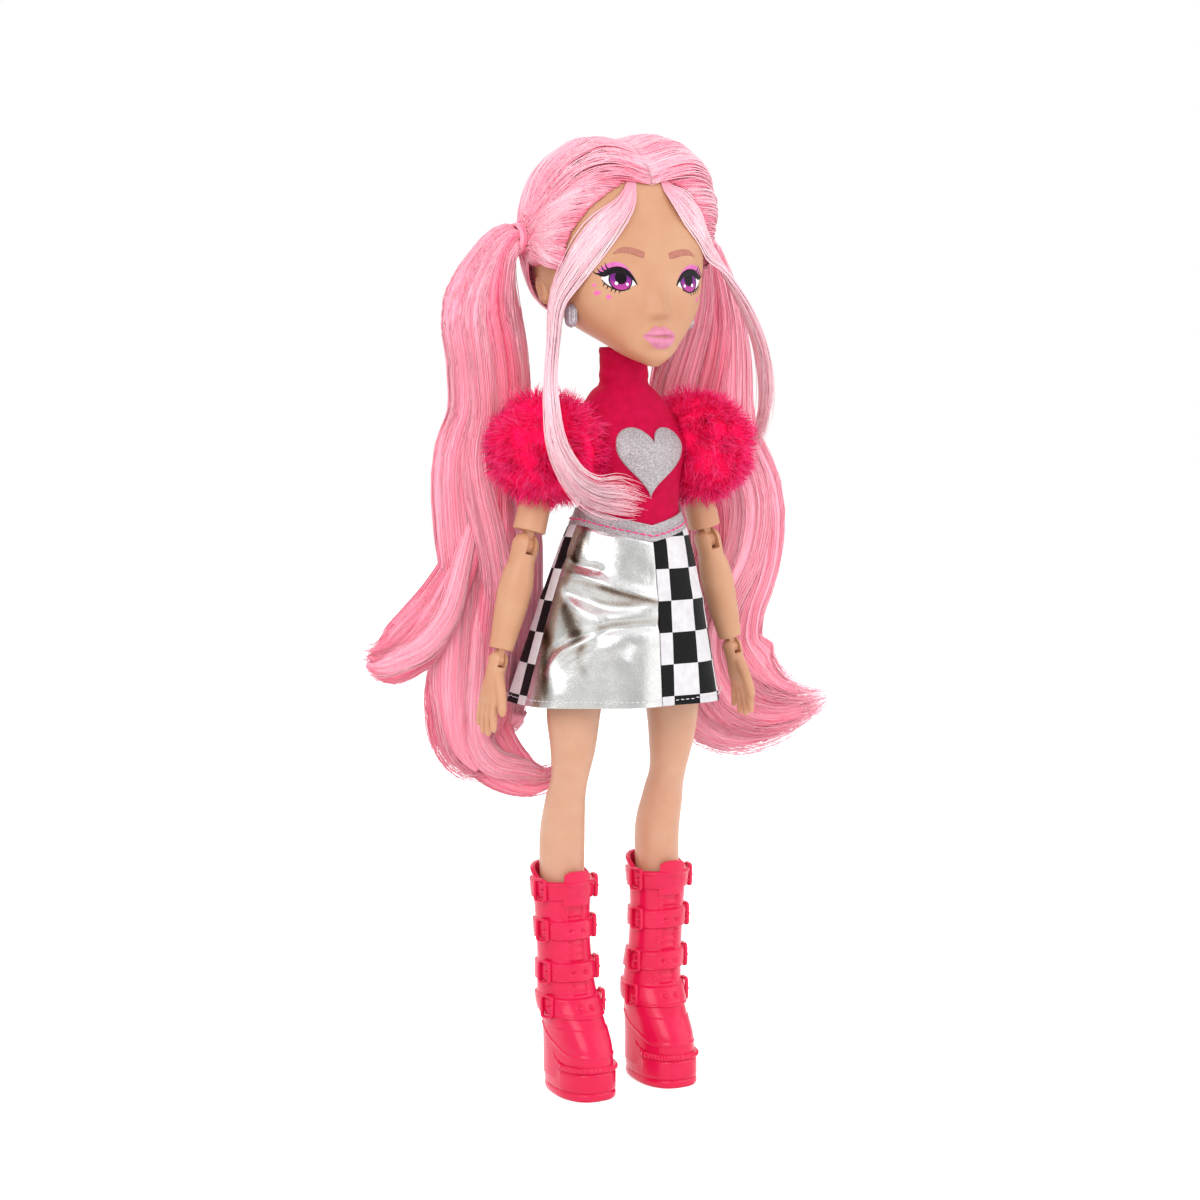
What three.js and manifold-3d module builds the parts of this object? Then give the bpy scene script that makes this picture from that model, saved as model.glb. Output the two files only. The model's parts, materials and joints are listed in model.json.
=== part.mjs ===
// Fashion doll with platform boots, built from its separate pieces.
// Millimetres, +Z up. The doll faces -Y and its own left side is +X.
// The origin lies on the floor, in the middle of the doll's outline.

import * as THREE from 'three';
import { mergeVertices } from 'three/addons/utils/BufferGeometryUtils.js';
import Module from 'manifold-3d';

const wasm = await Module();
wasm.setup();

// Fits
const fit = 0.3; // gap between two touching pieces
const runningGap = 0.4; // gap round a turning dome
const cutOverrun = 2; // how far a cutting tool runs past a face

// Heights above the floor
const platformHeight = 9.5; // sole under the toes
const heelHeight = 19; // sole under the heel
const bootHeight = 64; // boot rim
const kneeHeight = 88;
const hipHeight = 138; // hip joints

// Steps up the body
const waistRise = 22.5; // hip joints to the waistband's top edge at the back
const chestRise = 19.5; // waistband to the chest's widest level
const shoulderRise = 6; // chest to the shoulder joints
const neckRise = 8; // shoulder joints to the base of the neck
const collarRise = 9; // base of the neck to the top of the turtleneck
const chinRise = 6.5; // base of the neck to the chin
const nodRise = 11.5; // chin to the nodding pin inside the head
const headHeight = 61.5; // chin to the top of the bald head
const skirtLength = 53; // waistband's top edge at the back to the hem

// Torso half widths and half depths
const hipHalfWidth = 17;
const hipHalfDepth = 12.4;
const waistHalfWidth = 13.4;
const waistHalfDepth = 9.4;
const chestHalfWidth = 15.2;
const chestHalfDepth = 11.6;
const shoulderHalfWidth = 14.6;
const shoulderHalfDepth = 8.6;
const neckRadius = 5.3;
const shellWall = 1.8; // wall of the two torso shells
const crotchHalfWidth = 4.1;
const crotchDepth = 15;
const crotchDrop = 7; // how far the crotch reaches below the hip joints
const briefRise = 4.6; // leg opening above the hip joints
const waistSetForward = 1.6; // waist and chest lie in front of the body axis
const narrowestRise = 3; // narrowest part above the waistband's top
const collarboneDrop = 1.5;
const collarLip = 1.2; // collar above the neck's top
const bossWall = 1.6; // wall round the sockets inside the torso

// Clothes
const clothThickness = 0.6;
const heartSize = 21;
const heartThickness = 0.5;
const heartDrop = 3.6; // middle of the heart below the chest's widest level
const waistbandHeight = 4.2;
const waistbandDip = 4.6; // how far its front point drops
const hemHalfWidth = 30.6;
const hemHalfDepth = 24;
const hemSetback = 5; // the hem's middle lies behind the body axis
const skirtWave = 0.9; // height of the folds at the hem
const creaseDepth = 1.1; // sideways creases of the foil panel
const skirtFlare = 0.85; // how early the skirt widens, 1 is a straight cone
const rightSeamDegrees = 186; // seams of the skirt, 270 is the front
const frontSeamDegrees = 270;
const leftSeamDegrees = 354;
const foldCount = 7;
const foldPhase = 0.6;
const closureWidth = 5;
const closureThickness = 0.7;
const puffHalfWidth = 16.6;
const puffHalfDepth = 18.4;
const puffHalfHeight = 16.4;
const puffDrop = 7.4; // below the shoulder joint
const puffReach = 3.9; // outside the shoulder joint
const puffSetback = 1.7;

// Arms
const shoulderSpread = 20.3; // shoulder pin from the middle plane
const armSetback = 3.6; // arms lie behind the body axis
const upperArmLength = 30.9; // shoulder pin to the elbow cut
const upperArmRadius = 4.9;
const elbowCutRadius = 4.5;
const elbowDomeRadius = 3.7;
const forearmLength = 32.8; // elbow cut to the wrist cut
const forearmRadius = 4.7;
const wristCutRadius = 3.3;
const wristDomeRadius = 2.75;
const handLength = 24;
const palmHalfWidth = 4.4;
const palmHalfThickness = 2.3;
const fingerRadius = 1.15;
const thumbRadius = 1.3;
const armTilt = 15.5; // degrees outward

// Peg hinges: a turning peg with a tongue that a pin goes through
const shoulderPegRadius = 2.4;
const shoulderPegLength = 8;
const shoulderTongueRadius = 3.1;
const shoulderTongueThickness = 3;
const elbowPegRadius = 1.6;
const elbowPegLength = 8;
const elbowTongueRadius = 2.3;
const elbowTongueThickness = 2.3;
const wristPegRadius = 1.3;
const wristPegLength = 6;
const wristTongueRadius = 1.7;
const wristTongueThickness = 1.9;
const hipPegRadius = 2.6;
const hipPegLength = 3.6;
const hipTongueRadius = 4.4;
const hipTongueThickness = 4;
const armPinRadius = 0.9;
const wristPinRadius = 0.6;
const hipPinRadius = 1.4;

// Neck
const neckPegRadius = 2.6;
const neckPegLength = 9;
const neckFlangeRadius = 4.6;
const neckFlangeThickness = 1.4;
const nodBarrelRadius = 3;
const nodBarrelLength = 8.6;
const neckHoleFlare = 3; // how much wider the head's neck hole is than the collar

// Legs
const hipSpread = 12.5;
const hipDomeRadius = 8;
const thighRadius = 8.1;
const hemLegRadius = 7.5;
const kneeRadius = 5.1;
const calfRadius = 6.2;
const ankleRadius = 4.3;
const kneeSpread = 16;
const legSetback = 1; // thigh behind the body axis
const calfSetback = 8; // calf and boot shaft behind the body axis

// Boots
const shaftSpread = 15.6; // boot shaft from the middle plane
const soleSpread = 13.4;
const rimRadius = 8.6;
const shaftRadius = 7.4;
const instepRadius = 8.3;
const soleLength = 25.4;
const soleToe = 9.5; // toe in front of the body axis
const toeHalfWidth = 8.2;
const heelHalfWidth = 6.6;
const weltOverhang = 0.5; // sole proud of the upper
const bootWall = 1.1;
const strapHeight = 5.2;
const strapThickness = 0.7;
const buckleHeight = 6.8;
const buckleWidth = 4.4;
const buckleBar = 0.9;
const tongueHalfWidth = 4;
const rimDrop = 4.4; // the rim is lower in front
const tongueRise = 3; // tongue above the front of the rim
const flareHeight = 13; // the open top of the shaft

// Head and hair
const headHalfWidth = 22.4;
const faceReach = 17; // face in front of the body axis
const noseReach = 3.6; // nose in front of the face
const noseRise = 16.5; // chin to the tip of the nose
const skullReach = 31.5; // back of the head behind the body axis
const earThickness = 2.2;
const earHeight = 9;
const earDepth = 5.6;
const earSetback = 1;
const earringRadius = 3.1;
const earringThickness = 1.8;
const hairThickness = 2.6; // rooted hair over the scalp
const hairlineDrop = 13; // top of the bald head to the hairline
const pigtailRootGap = 0.6; // between the hair cap and the elastic's inner side
const pigtailRootRise = 34.5; // chin to the pigtail's root
const pigtailRootSetback = 12.5;
const elasticRadius = 4.6;
const elasticTube = 1.1;
const pigtailReach = 69; // outermost hair from the middle plane
const pigtailLength = 153; // root to the lowest hair
const pigtailHalfWidth = 17;
const tendrilRadius = 2.6;

// Faces round each kind of piece
const armSides = 10;
const hubSides = 8;
const pinSides = 8;
const bodySides = 16;
const bootSides = 12;
const legSides = 10;
const hairSides = 8;

// Levels that follow from the steps
const waistHeight = hipHeight + waistRise;
const hemHeight = waistHeight - skirtLength;
const chestHeight = waistHeight + chestRise;
const shoulderHeight = chestHeight + shoulderRise;
const neckHeight = shoulderHeight + neckRise;
const collarHeight = neckHeight + collarRise;
const chinHeight = neckHeight + chinRise;
const nodHeight = chinHeight + nodRise;
const noseHeight = chinHeight + noseRise;
const skullHeight = chinHeight + headHeight;
const hairlineHeight = skullHeight - hairlineDrop;
const pigtailRootHeight = chinHeight + pigtailRootRise;
const pigtailRootSpread = headHalfWidth + hairThickness + pigtailRootGap;

// The doll's front and back reach set the middle of its outline.
const frontReach = faceReach + noseReach;
const backReach = skullReach + hairThickness;
const outlineShift = (frontReach - backReach) / 2;

const doll = new THREE.Group();
doll.position.y = outlineShift;

const colours = {
  skin: 0xecb28c,
  hair: 0xf78ca7,
  paleHair: 0xfbd3dc,
  jersey: 0xd9145f,
  fur: 0xff2a70,
  glitter: 0xb9b4b9,
  foil: 0xc8c8ca,
  checker: 0xe9e5e9,
  vinyl: 0xf53e6c,
  plasticInside: 0xe0a37c,
  steel: 0xb8bcc2,
};

function addPiece(name, geometry, colour, roughness = 0.5, metalness = 0) {
  const material = new THREE.MeshStandardMaterial({ color: colour, roughness, metalness });
  const mesh = new THREE.Mesh(geometry, material);
  mesh.name = name;
  doll.add(mesh);
}

// Solid helpers

function signedVolume(positions, indices) {
  let volume = 0;
  for (let i = 0; i < indices.length; i += 3) {
    const [a, b, c] = [indices[i] * 3, indices[i + 1] * 3, indices[i + 2] * 3];
    volume += positions[a] * (positions[b + 1] * positions[c + 2] - positions[b + 2] * positions[c + 1]);
    volume += positions[a + 1] * (positions[b + 2] * positions[c] - positions[b] * positions[c + 2]);
    volume += positions[a + 2] * (positions[b] * positions[c + 1] - positions[b + 1] * positions[c]);
  }
  return volume;
}

function closedGeometry(positions, indices) {
  if (signedVolume(positions, indices) < 0) indices.reverse();
  const geometry = new THREE.BufferGeometry();
  geometry.setAttribute('position', new THREE.Float32BufferAttribute(positions, 3));
  geometry.setIndex(indices);
  return geometry;
}

// A skin over rings of equal point counts, closed by a fan at each end.
function loft(rings) {
  const count = rings[0].length;
  const positions = rings.flat().flatMap((p) => [p.x, p.y, p.z]);
  const indices = [];
  for (let r = 0; r + 1 < rings.length; r += 1) {
    for (let i = 0; i < count; i += 1) {
      const [a, b] = [r * count + i, r * count + ((i + 1) % count)];
      indices.push(a, b, a + count, b, b + count, a + count);
    }
  }
  for (const end of [0, rings.length - 1]) {
    const centre = new THREE.Vector3();
    rings[end].forEach((p) => centre.addScaledVector(p, 1 / count));
    const tip = positions.length / 3;
    positions.push(centre.x, centre.y, centre.z);
    for (let i = 0; i < count; i += 1) {
      const [a, b] = [end * count + i, end * count + ((i + 1) % count)];
      if (end === 0) indices.push(tip, b, a);
      else indices.push(tip, a, b);
    }
  }
  return closedGeometry(positions, indices);
}

// A level ring: half width, front and back reach, squareness 1 is an ellipse.
function levelRing(x, y, z, halfWidth, halfDepth, sides, squareness = 1) {
  const ring = [];
  for (let i = 0; i < sides; i += 1) {
    const angle = (i / sides) * 2 * Math.PI;
    const [c, s] = [Math.cos(angle), Math.sin(angle)];
    const px = Math.sign(c) * Math.abs(c) ** squareness * halfWidth;
    const py = Math.sign(s) * Math.abs(s) ** squareness * halfDepth;
    ring.push(new THREE.Vector3(x + px, y + py, z));
  }
  return ring;
}

// Smooth values between stations, each an array of numbers whose first is the level.
function smoothStations(stations, steps) {
  const size = stations[0].length;
  const point = (i) => stations[Math.min(Math.max(i, 0), stations.length - 1)];
  const result = [];
  for (let i = 0; i + 1 < stations.length; i += 1) {
    for (let k = 0; k < steps; k += 1) {
      const t = k / steps;
      const row = [];
      for (let j = 0; j < size; j += 1) {
        const [a, b, c, d] = [point(i - 1)[j], point(i)[j], point(i + 1)[j], point(i + 2)[j]];
        const slope = (c - a) / 2;
        const nextSlope = (d - b) / 2;
        const lift = 2 * (b - c) + slope + nextSlope;
        const bend = 3 * (c - b) - 2 * slope - nextSlope;
        row.push(b + slope * t + bend * t ** 2 + lift * t ** 3);
      }
      result.push(row);
    }
  }
  result.push(stations[stations.length - 1]);
  return result;
}

const nearlyAlongShare = 0.9;

// A tapered tube along a smooth curve; sections are [x, y, z, half width, half depth].
// The width lies along X, or upright where the tube itself runs along X.
function sweep(stations, steps, sides, grow = 0) {
  const rows = smoothStations(stations, steps);
  const points = rows.map((row) => new THREE.Vector3(row[0], row[1], row[2]));
  const rings = rows.map((row, i) => {
    const ahead = points[Math.min(i + 1, points.length - 1)];
    const behind = points[Math.max(i - 1, 0)];
    const tangent = ahead.clone().sub(behind).normalize();
    const along = Math.abs(tangent.x) > nearlyAlongShare;
    const wide = along ? new THREE.Vector3(0, 0, 1) : new THREE.Vector3(1, 0, 0);
    const side = wide.addScaledVector(tangent, -wide.dot(tangent)).normalize();
    const back = new THREE.Vector3().crossVectors(tangent, side);
    const ring = [];
    for (let k = 0; k < sides; k += 1) {
      const angle = (k / sides) * 2 * Math.PI;
      const p = points[i].clone();
      p.addScaledVector(side, Math.cos(angle) * (row[3] + grow));
      ring.push(p.addScaledVector(back, Math.sin(angle) * (row[4] + grow)));
    }
    return ring;
  });
  if (grow > 0) {
    const first = points[0].clone().sub(points[1]).setLength(grow);
    const last = points.at(-1).clone().sub(points.at(-2)).setLength(grow);
    rings[0].forEach((p) => p.add(first));
    rings.at(-1).forEach((p) => p.add(last));
  }
  return loft(rings);
}

function toSolid(geometry) {
  const bare = geometry.clone();
  bare.deleteAttribute('normal');
  bare.deleteAttribute('uv');
  const merged = mergeVertices(bare);
  const vertProperties = new Float32Array(merged.attributes.position.array);
  const triVerts = new Uint32Array(merged.index.array);
  return new wasm.Manifold(new wasm.Mesh({ numProp: 3, vertProperties, triVerts }));
}

function toGeometry(solid) {
  const mesh = solid.getMesh();
  const geometry = new THREE.BufferGeometry();
  geometry.setAttribute('position', new THREE.Float32BufferAttribute(mesh.vertProperties, 3));
  geometry.setIndex(new THREE.Uint32BufferAttribute(mesh.triVerts, 1));
  return geometry;
}

const join = (...geometries) => toGeometry(geometries.map(toSolid).reduce((a, b) => a.add(b)));
const cut = (geometry, ...tools) =>
  toGeometry(tools.map(toSolid).reduce((a, b) => a.subtract(b), toSolid(geometry)));
const common = (a, b) => toGeometry(toSolid(a).intersect(toSolid(b)));

function box(x0, x1, y0, y1, z0, z1) {
  const geometry = new THREE.BoxGeometry(x1 - x0, y1 - y0, z1 - z0);
  return geometry.translate((x0 + x1) / 2, (y0 + y1) / 2, (z0 + z1) / 2);
}

function ball(x, y, z, radius, sides = armSides) {
  return new THREE.SphereGeometry(radius, sides, Math.ceil(sides / 2)).rotateX(Math.PI / 2).translate(x, y, z);
}

// A cylinder from one coordinate to another along an axis, through the origin.
function rod(axis, from, to, radius, sides = armSides) {
  const geometry = new THREE.CylinderGeometry(radius, radius, to - from, sides);
  geometry.translate(0, (from + to) / 2, 0);
  if (axis === 'x') geometry.rotateZ(-Math.PI / 2);
  if (axis === 'z') geometry.rotateX(Math.PI / 2);
  return geometry;
}

const radians = (degrees) => (degrees * Math.PI) / 180;

// A value between two others: share 0 is the first, share 1 the second.
const between = (low, high, share) => low + (high - low) * share;

// Swaps left and right.
function mirror(geometry) {
  const swapped = geometry.index ? geometry.clone() : mergeVertices(geometry.clone());
  swapped.scale(-1, 1, 1);
  const indices = Array.from(swapped.index.array);
  swapped.setIndex(indices.reverse());
  return swapped;
}

// Moves an arm piece from its own frame, hanging down -Z, to a point on the arm.
const hang = (geometry, point) =>
  geometry.clone().rotateY(-radians(armTilt)).translate(point.x, point.y, point.z);

// The point on the left arm's axis this far below the shoulder joint.
function alongArm(distance) {
  const reach = distance * Math.sin(radians(armTilt));
  const drop = distance * Math.cos(radians(armTilt));
  return new THREE.Vector3(shoulderSpread + reach, armSetback, shoulderHeight - drop);
}

const elbowDistance = upperArmLength + fit + elbowDomeRadius; // shoulder pin to elbow pin
const wristCutDistance = upperArmLength + forearmLength;
const wristDistance = wristCutDistance + fit + wristDomeRadius;
const fingertipDistance = wristCutDistance + handLength;

// Torso shells

const narrowestHeight = waistHeight + narrowestRise;
const pelvisHeight = (hipHeight + briefRise + waistHeight) / 2;
const slopeShare = 0.62; // collarbone width as a share of the shoulders
const neckTop = collarHeight - collarLip;
const splitSetback = (armSetback + legSetback) / 2;
const crotchSquareness = 0.6;

function torsoRows(bottom, top) {
  const slopeDepth = shoulderHalfDepth * slopeShare + neckRadius / 3;
  const stations = [
    [bottom, legSetback, hipHalfWidth, hipHalfDepth],
    [pelvisHeight, 0, hipHalfWidth, hipHalfDepth],
    [narrowestHeight, -waistSetForward, waistHalfWidth, waistHalfDepth],
    [chestHeight, -waistSetForward, chestHalfWidth, chestHalfDepth],
    [shoulderHeight, 0, shoulderHalfWidth, shoulderHalfDepth],
    [neckHeight - collarboneDrop, legSetback, shoulderHalfWidth * slopeShare, slopeDepth],
    [neckHeight + collarboneDrop, legSetback, neckRadius, neckRadius],
    [top, legSetback, neckRadius, neckRadius],
  ];
  return smoothStations(stations, 1);
}

function torsoLoft(grow, bottom, top) {
  return loft(torsoRows(bottom, top).map(([z, y, halfWidth, halfDepth]) =>
    levelRing(0, y, z, halfWidth + grow, halfDepth + grow, bodySides)));
}

// The torso's half width, half depth and middle at one height.
function torsoAt(height) {
  const rows = torsoRows(hipHeight + briefRise, neckTop);
  const i = Math.max(1, rows.findIndex((row) => row[0] >= height));
  const t = (height - rows[i - 1][0]) / (rows[i][0] - rows[i - 1][0]);
  const mix = (k) => rows[i - 1][k] + (rows[i][k] - rows[i - 1][k]) * t;
  return { y: mix(1), halfWidth: mix(2), halfDepth: mix(3) };
}

function torsoShells() {
  const bottom = hipHeight + briefRise;
  const outer = torsoLoft(0, bottom, neckTop);
  const hollowTop = neckHeight - collarboneDrop;
  const cavity = common(
    torsoLoft(-shellWall, bottom, neckTop),
    box(-hipHalfWidth, hipHalfWidth, -hipHalfDepth, hipHalfDepth, bottom + shellWall, hollowTop),
  );
  const crossTube = rod('x', -shoulderSpread, shoulderSpread, shoulderPegRadius + bossWall, hubSides);
  crossTube.translate(0, armSetback, shoulderHeight);
  const neckBottom = neckTop - neckPegLength;
  const neckTube = rod('z', neckBottom - bossWall, neckTop, neckPegRadius + bossWall, hubSides);
  neckTube.translate(0, legSetback, 0);
  const crotch = loft([hipHeight - crotchDrop, bottom + shellWall].map((z) =>
    levelRing(0, legSetback, z, crotchHalfWidth, crotchDepth / 2, bodySides, crotchSquareness)));
  const armhole = rod('x', -shoulderSpread, shoulderSpread, shoulderPegRadius + fit);
  const bores = [
    armhole.translate(0, armSetback, shoulderHeight),
    rod('z', neckBottom - fit, neckTop + cutOverrun, neckPegRadius + fit).translate(0, legSetback, 0),
    rod('x', -hipSpread, hipSpread, hipPegRadius + fit).translate(0, legSetback, hipHeight),
    ball(hipSpread, legSetback, hipHeight, hipDomeRadius + 2 * runningGap, legSides),
    ball(-hipSpread, legSetback, hipHeight, hipDomeRadius + 2 * runningGap, legSides),
  ];
  const whole = cut(join(cut(outer, cavity), common(join(crossTube, neckTube), outer), crotch), ...bores);
  const reach = hipHalfWidth + cutOverrun;
  const depth = hipHalfDepth + chestHalfDepth;
  const bottomEnd = hipHeight - crotchDrop - cutOverrun;
  const topEnd = neckTop + cutOverrun;
  const front = box(-reach, reach, splitSetback - depth, splitSetback - fit / 2, bottomEnd, topEnd);
  const back = box(-reach, reach, splitSetback + fit / 2, splitSetback + depth, bottomEnd, topEnd);
  addPiece('torso_front', common(whole, front), colours.skin);
  addPiece('torso_back', common(whole, back), colours.skin);
}

// Turtleneck bodice, a thin tube of cloth over the torso

const bodiceBottom = waistHeight - waistbandDip - waistbandHeight + fit;
const bodiceGrow = fit + clothThickness;

function bodiceBody() {
  const outer = torsoLoft(bodiceGrow, hipHeight + briefRise, collarHeight);
  const inner = torsoLoft(fit, hipHeight, collarHeight + cutOverrun);
  const reach = hipHalfWidth + cutOverrun;
  const depth = hipHalfDepth + cutOverrun;
  const below = box(-reach, reach, -depth, depth, hipHeight, bodiceBottom);
  const armhole = rod('x', -shoulderSpread, shoulderSpread, shoulderPegRadius + 2 * fit);
  return cut(outer, inner, below, armhole.translate(0, armSetback, shoulderHeight));
}

// A thin patch that follows the bodice: an outline in x and z, pushed back to the cloth.
function patch(outline, thickness, facing, seat) {
  const middle = new THREE.Vector2();
  outline.forEach((p) => middle.addScaledVector(p, 1 / outline.length));
  const ringShares = [1, 0.66, 0.33];
  const layers = [seat + thickness, seat];
  const positions = [];
  const surface = (x, z, lift) => {
    const { y, halfWidth, halfDepth } = torsoAt(z);
    const share = Math.min(Math.abs(x) / (halfWidth + lift), 1);
    return y + facing * (halfDepth + lift) * Math.sqrt(1 - share ** 2);
  };
  for (const lift of layers) {
    for (const share of ringShares) {
      for (const p of outline) {
        const [x, z] = [middle.x + (p.x - middle.x) * share, middle.y + (p.y - middle.y) * share];
        positions.push(x, surface(x, z, lift), z);
      }
    }
    positions.push(middle.x, surface(middle.x, middle.y, lift), middle.y);
  }
  const count = outline.length;
  const layerSize = ringShares.length * count + 1;
  const indices = [];
  for (let i = 0; i < count; i += 1) {
    const next = (i + 1) % count;
    for (let r = 0; r + 1 < ringShares.length; r += 1) {
      const [a, b] = [r * count + i, r * count + next];
      indices.push(a, b, a + count, b, b + count, a + count);
      indices.push(a + layerSize, a + count + layerSize, b + layerSize);
      indices.push(b + layerSize, a + count + layerSize, b + count + layerSize);
    }
    const last = (ringShares.length - 1) * count;
    indices.push(last + i, last + next, layerSize - 1);
    indices.push(last + next + layerSize, last + i + layerSize, 2 * layerSize - 1);
    indices.push(next, i, i + layerSize, next, i + layerSize, next + layerSize);
  }
  return closedGeometry(positions, indices);
}

const heartHeight = chestHeight - heartDrop;

// A heart's height as a sum of cosines, in shares of its width.
const heartShares = [13 / 32, -5 / 32, -2 / 32, -1 / 32];

function heartOutline(steps) {
  const points = [];
  for (let i = 0; i < steps; i += 1) {
    const angle = (i / steps) * 2 * Math.PI;
    const x = Math.sin(angle) ** 3 / 2;
    const z = heartShares.reduce((sum, share, k) => sum + share * Math.cos((k + 1) * angle), 0);
    points.push(new THREE.Vector2(x * heartSize, heartHeight + z * heartSize));
  }
  return points;
}

function closureOutline() {
  const half = closureWidth / 2;
  const top = neckHeight - collarboneDrop;
  const rows = 8;
  const bottom = waistHeight + fit;
  const up = [];
  const down = [];
  for (let i = 0; i <= rows; i += 1) {
    const z = bottom + ((top - bottom) * i) / rows;
    up.push(new THREE.Vector2(half, z));
    down.unshift(new THREE.Vector2(-half, z));
  }
  return [...up, ...down];
}

// Waistband, a band round the waist whose front comes down to a point

function waistband() {
  const steps = 36;
  const inner = bodiceGrow + fit;
  const outer = inner + clothThickness;
  const rings = [];
  for (let i = 0; i < steps; i += 1) {
    const angle = (i / steps) * 2 * Math.PI;
    const frontShare = Math.max(0, -Math.sin(angle));
    const top = waistHeight - waistbandDip * frontShare ** 2;
    const bottom = top - waistbandHeight;
    rings.push([[inner, top], [outer, top], [outer, bottom], [inner, bottom]].map(([grow, z]) => {
      const { y, halfWidth, halfDepth } = torsoAt(z);
      const x = Math.cos(angle) * (halfWidth + grow);
      return new THREE.Vector3(x, y + Math.sin(angle) * (halfDepth + grow), z);
    }));
  }
  return ringLoop(rings);
}

// A closed loop of equal sections, such as a band.
function ringLoop(rings) {
  const count = rings[0].length;
  const positions = rings.flat().flatMap((p) => [p.x, p.y, p.z]);
  const indices = [];
  rings.forEach((_, r) => {
    const next = (r + 1) % rings.length;
    for (let i = 0; i < count; i += 1) {
      const j = (i + 1) % count;
      indices.push(r * count + i, r * count + j, next * count + i);
      indices.push(r * count + j, next * count + j, next * count + i);
    }
  });
  return closedGeometry(positions, indices);
}

// Skirt panels: each is a sheet from the waistband to the hem, between two seams

function skirtTop(angle) {
  const frontShare = Math.max(0, -Math.sin(angle));
  return waistHeight - waistbandDip * frontShare ** 2 - waistbandHeight - fit;
}

// Creases of the foil: how far down the panel, slope, width and depth.
const foilCreaseShares = [
  [0.36, 0.16, 0.06, 1],
  [0.62, -0.22, 0.07, 0.8],
  [0.48, 0.05, 0.05, -0.6],
];

// The foil's surface at an angle past its side seam: 1 is a full crease outward.
function foilCrease(angle, drop) {
  const across = (angle - radians(rightSeamDegrees)) / radians(frontSeamDegrees - rightSeamDegrees);
  if (across <= 0 || across >= 1) return 0;
  const turn = angle - radians(rightSeamDegrees);
  const depths = foilCreaseShares.map(([centre, slope, width, depth]) =>
    depth * Math.exp(-(((drop - centre - slope * turn) / width) ** 2)));
  return depths.reduce((a, b) => a + b) * Math.sin(across * Math.PI);
}

// A point of the skirt: angle round the body, drop 0 at the top to 1 at the hem.
function skirtPoint(angle, drop, lift, foil) {
  const top = skirtTop(angle);
  const z = top + (hemHeight - top) * drop;
  const waist = torsoAt(top);
  const grow = bodiceGrow + fit;
  const spread = drop ** skirtFlare;
  const wave = skirtWave * drop ** 2 * Math.cos(foldCount * angle + foldPhase);
  const crease = foil ? creaseDepth * foilCrease(angle, drop) : 0;
  const halfWidth = waist.halfWidth + grow + (hemHalfWidth - waist.halfWidth - grow) * spread;
  const halfDepth = waist.halfDepth + grow + (hemHalfDepth - waist.halfDepth - grow) * spread;
  const y = waist.y + (hemSetback - waist.y) * drop;
  const out = lift + wave + crease;
  return new THREE.Vector3(Math.cos(angle) * (halfWidth + out), y + Math.sin(angle) * (halfDepth + out), z);
}

function skirtPanel(fromDegrees, toDegrees, columns, rows, foil = false) {
  const layers = [clothThickness, 0];
  const positions = [];
  for (const lift of layers) {
    for (let r = 0; r <= rows; r += 1) {
      for (let c = 0; c <= columns; c += 1) {
        const drop = r / rows;
        const width = skirtPoint(0, drop, lift, false).x;
        const seam = fit / 2 / width;
        const from = radians(fromDegrees) + seam;
        const to = radians(toDegrees) - seam;
        const p = skirtPoint(from + ((to - from) * c) / columns, drop, lift, foil);
        positions.push(p.x, p.y, p.z);
      }
    }
  }
  return closedGeometry(positions, sheetIndices(columns, rows));
}

// Faces of a sheet with two layers of (columns + 1) x (rows + 1) points.
function sheetIndices(columns, rows) {
  const stride = columns + 1;
  const layer = stride * (rows + 1);
  const indices = [];
  for (let r = 0; r < rows; r += 1) {
    for (let c = 0; c < columns; c += 1) {
      const a = r * stride + c;
      indices.push(a, a + 1, a + stride, a + 1, a + stride + 1, a + stride);
      const b = a + layer;
      indices.push(b, b + stride, b + 1, b + 1, b + stride, b + stride + 1);
    }
  }
  const wall = (a, b) => indices.push(b, a, a + layer, b, a + layer, b + layer);
  for (let c = 0; c < columns; c += 1) {
    wall(c, c + 1);
    wall(rows * stride + c + 1, rows * stride + c);
  }
  for (let r = 0; r < rows; r += 1) {
    wall((r + 1) * stride, r * stride);
    wall(r * stride + columns, (r + 1) * stride + columns);
  }
  return indices;
}

// Peg hinges

// A tongue with a pin hole, on a neck, in its own frame: the peg points to -X.
function pegHinge({ pegRadius, pegFrom, pegLength, tongueRadius, thickness, pinRadius, neckHalf }) {
  const tongue = rod('y', -thickness / 2, thickness / 2, tongueRadius, hubSides);
  const neck = box(-pegFrom - fit, 0, -thickness / 2, thickness / 2, -neckHalf, neckHalf);
  const peg = rod('x', -pegFrom - pegLength, -pegFrom, pegRadius, hubSides);
  const hole = rod('y', -thickness, thickness, pinRadius + fit, pinSides);
  return cut(join(tongue, neck, peg), hole);
}

const pin = (axis, length, radius) => rod(axis, -length / 2, length / 2, radius, pinSides);

// The same hinge with its peg pointing up and its pin along X.
const raisedHinge = (options) => pegHinge(options).rotateY(Math.PI / 2).rotateZ(Math.PI / 2);

const domeShares = [0.12, 0.55, 0.87, 1];

// Rings of a dome that ends a limb, from its tip to its full radius.
function domeRings(radius, sides) {
  return domeShares.map((share) =>
    levelRing(0, 0, radius * Math.sqrt(1 - share ** 2), radius * share, radius * share, sides));
}

// A limb hanging from a dome at its joint; sections are [height, half width, half depth].
function limb(domeRadius, sections, grow = 0) {
  const rings = domeRings(domeRadius + grow, armSides);
  for (const [z, w, d] of sections) rings.push(levelRing(0, 0, z, w + grow, d + grow, armSides));
  return loft(rings);
}

// Arms, modelled for the left side

const armPinLength = 1.7 * elbowDomeRadius;
const wristPinLength = 1.6 * wristDomeRadius;
const shoulderPinLength = 1.7 * upperArmRadius;

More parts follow.
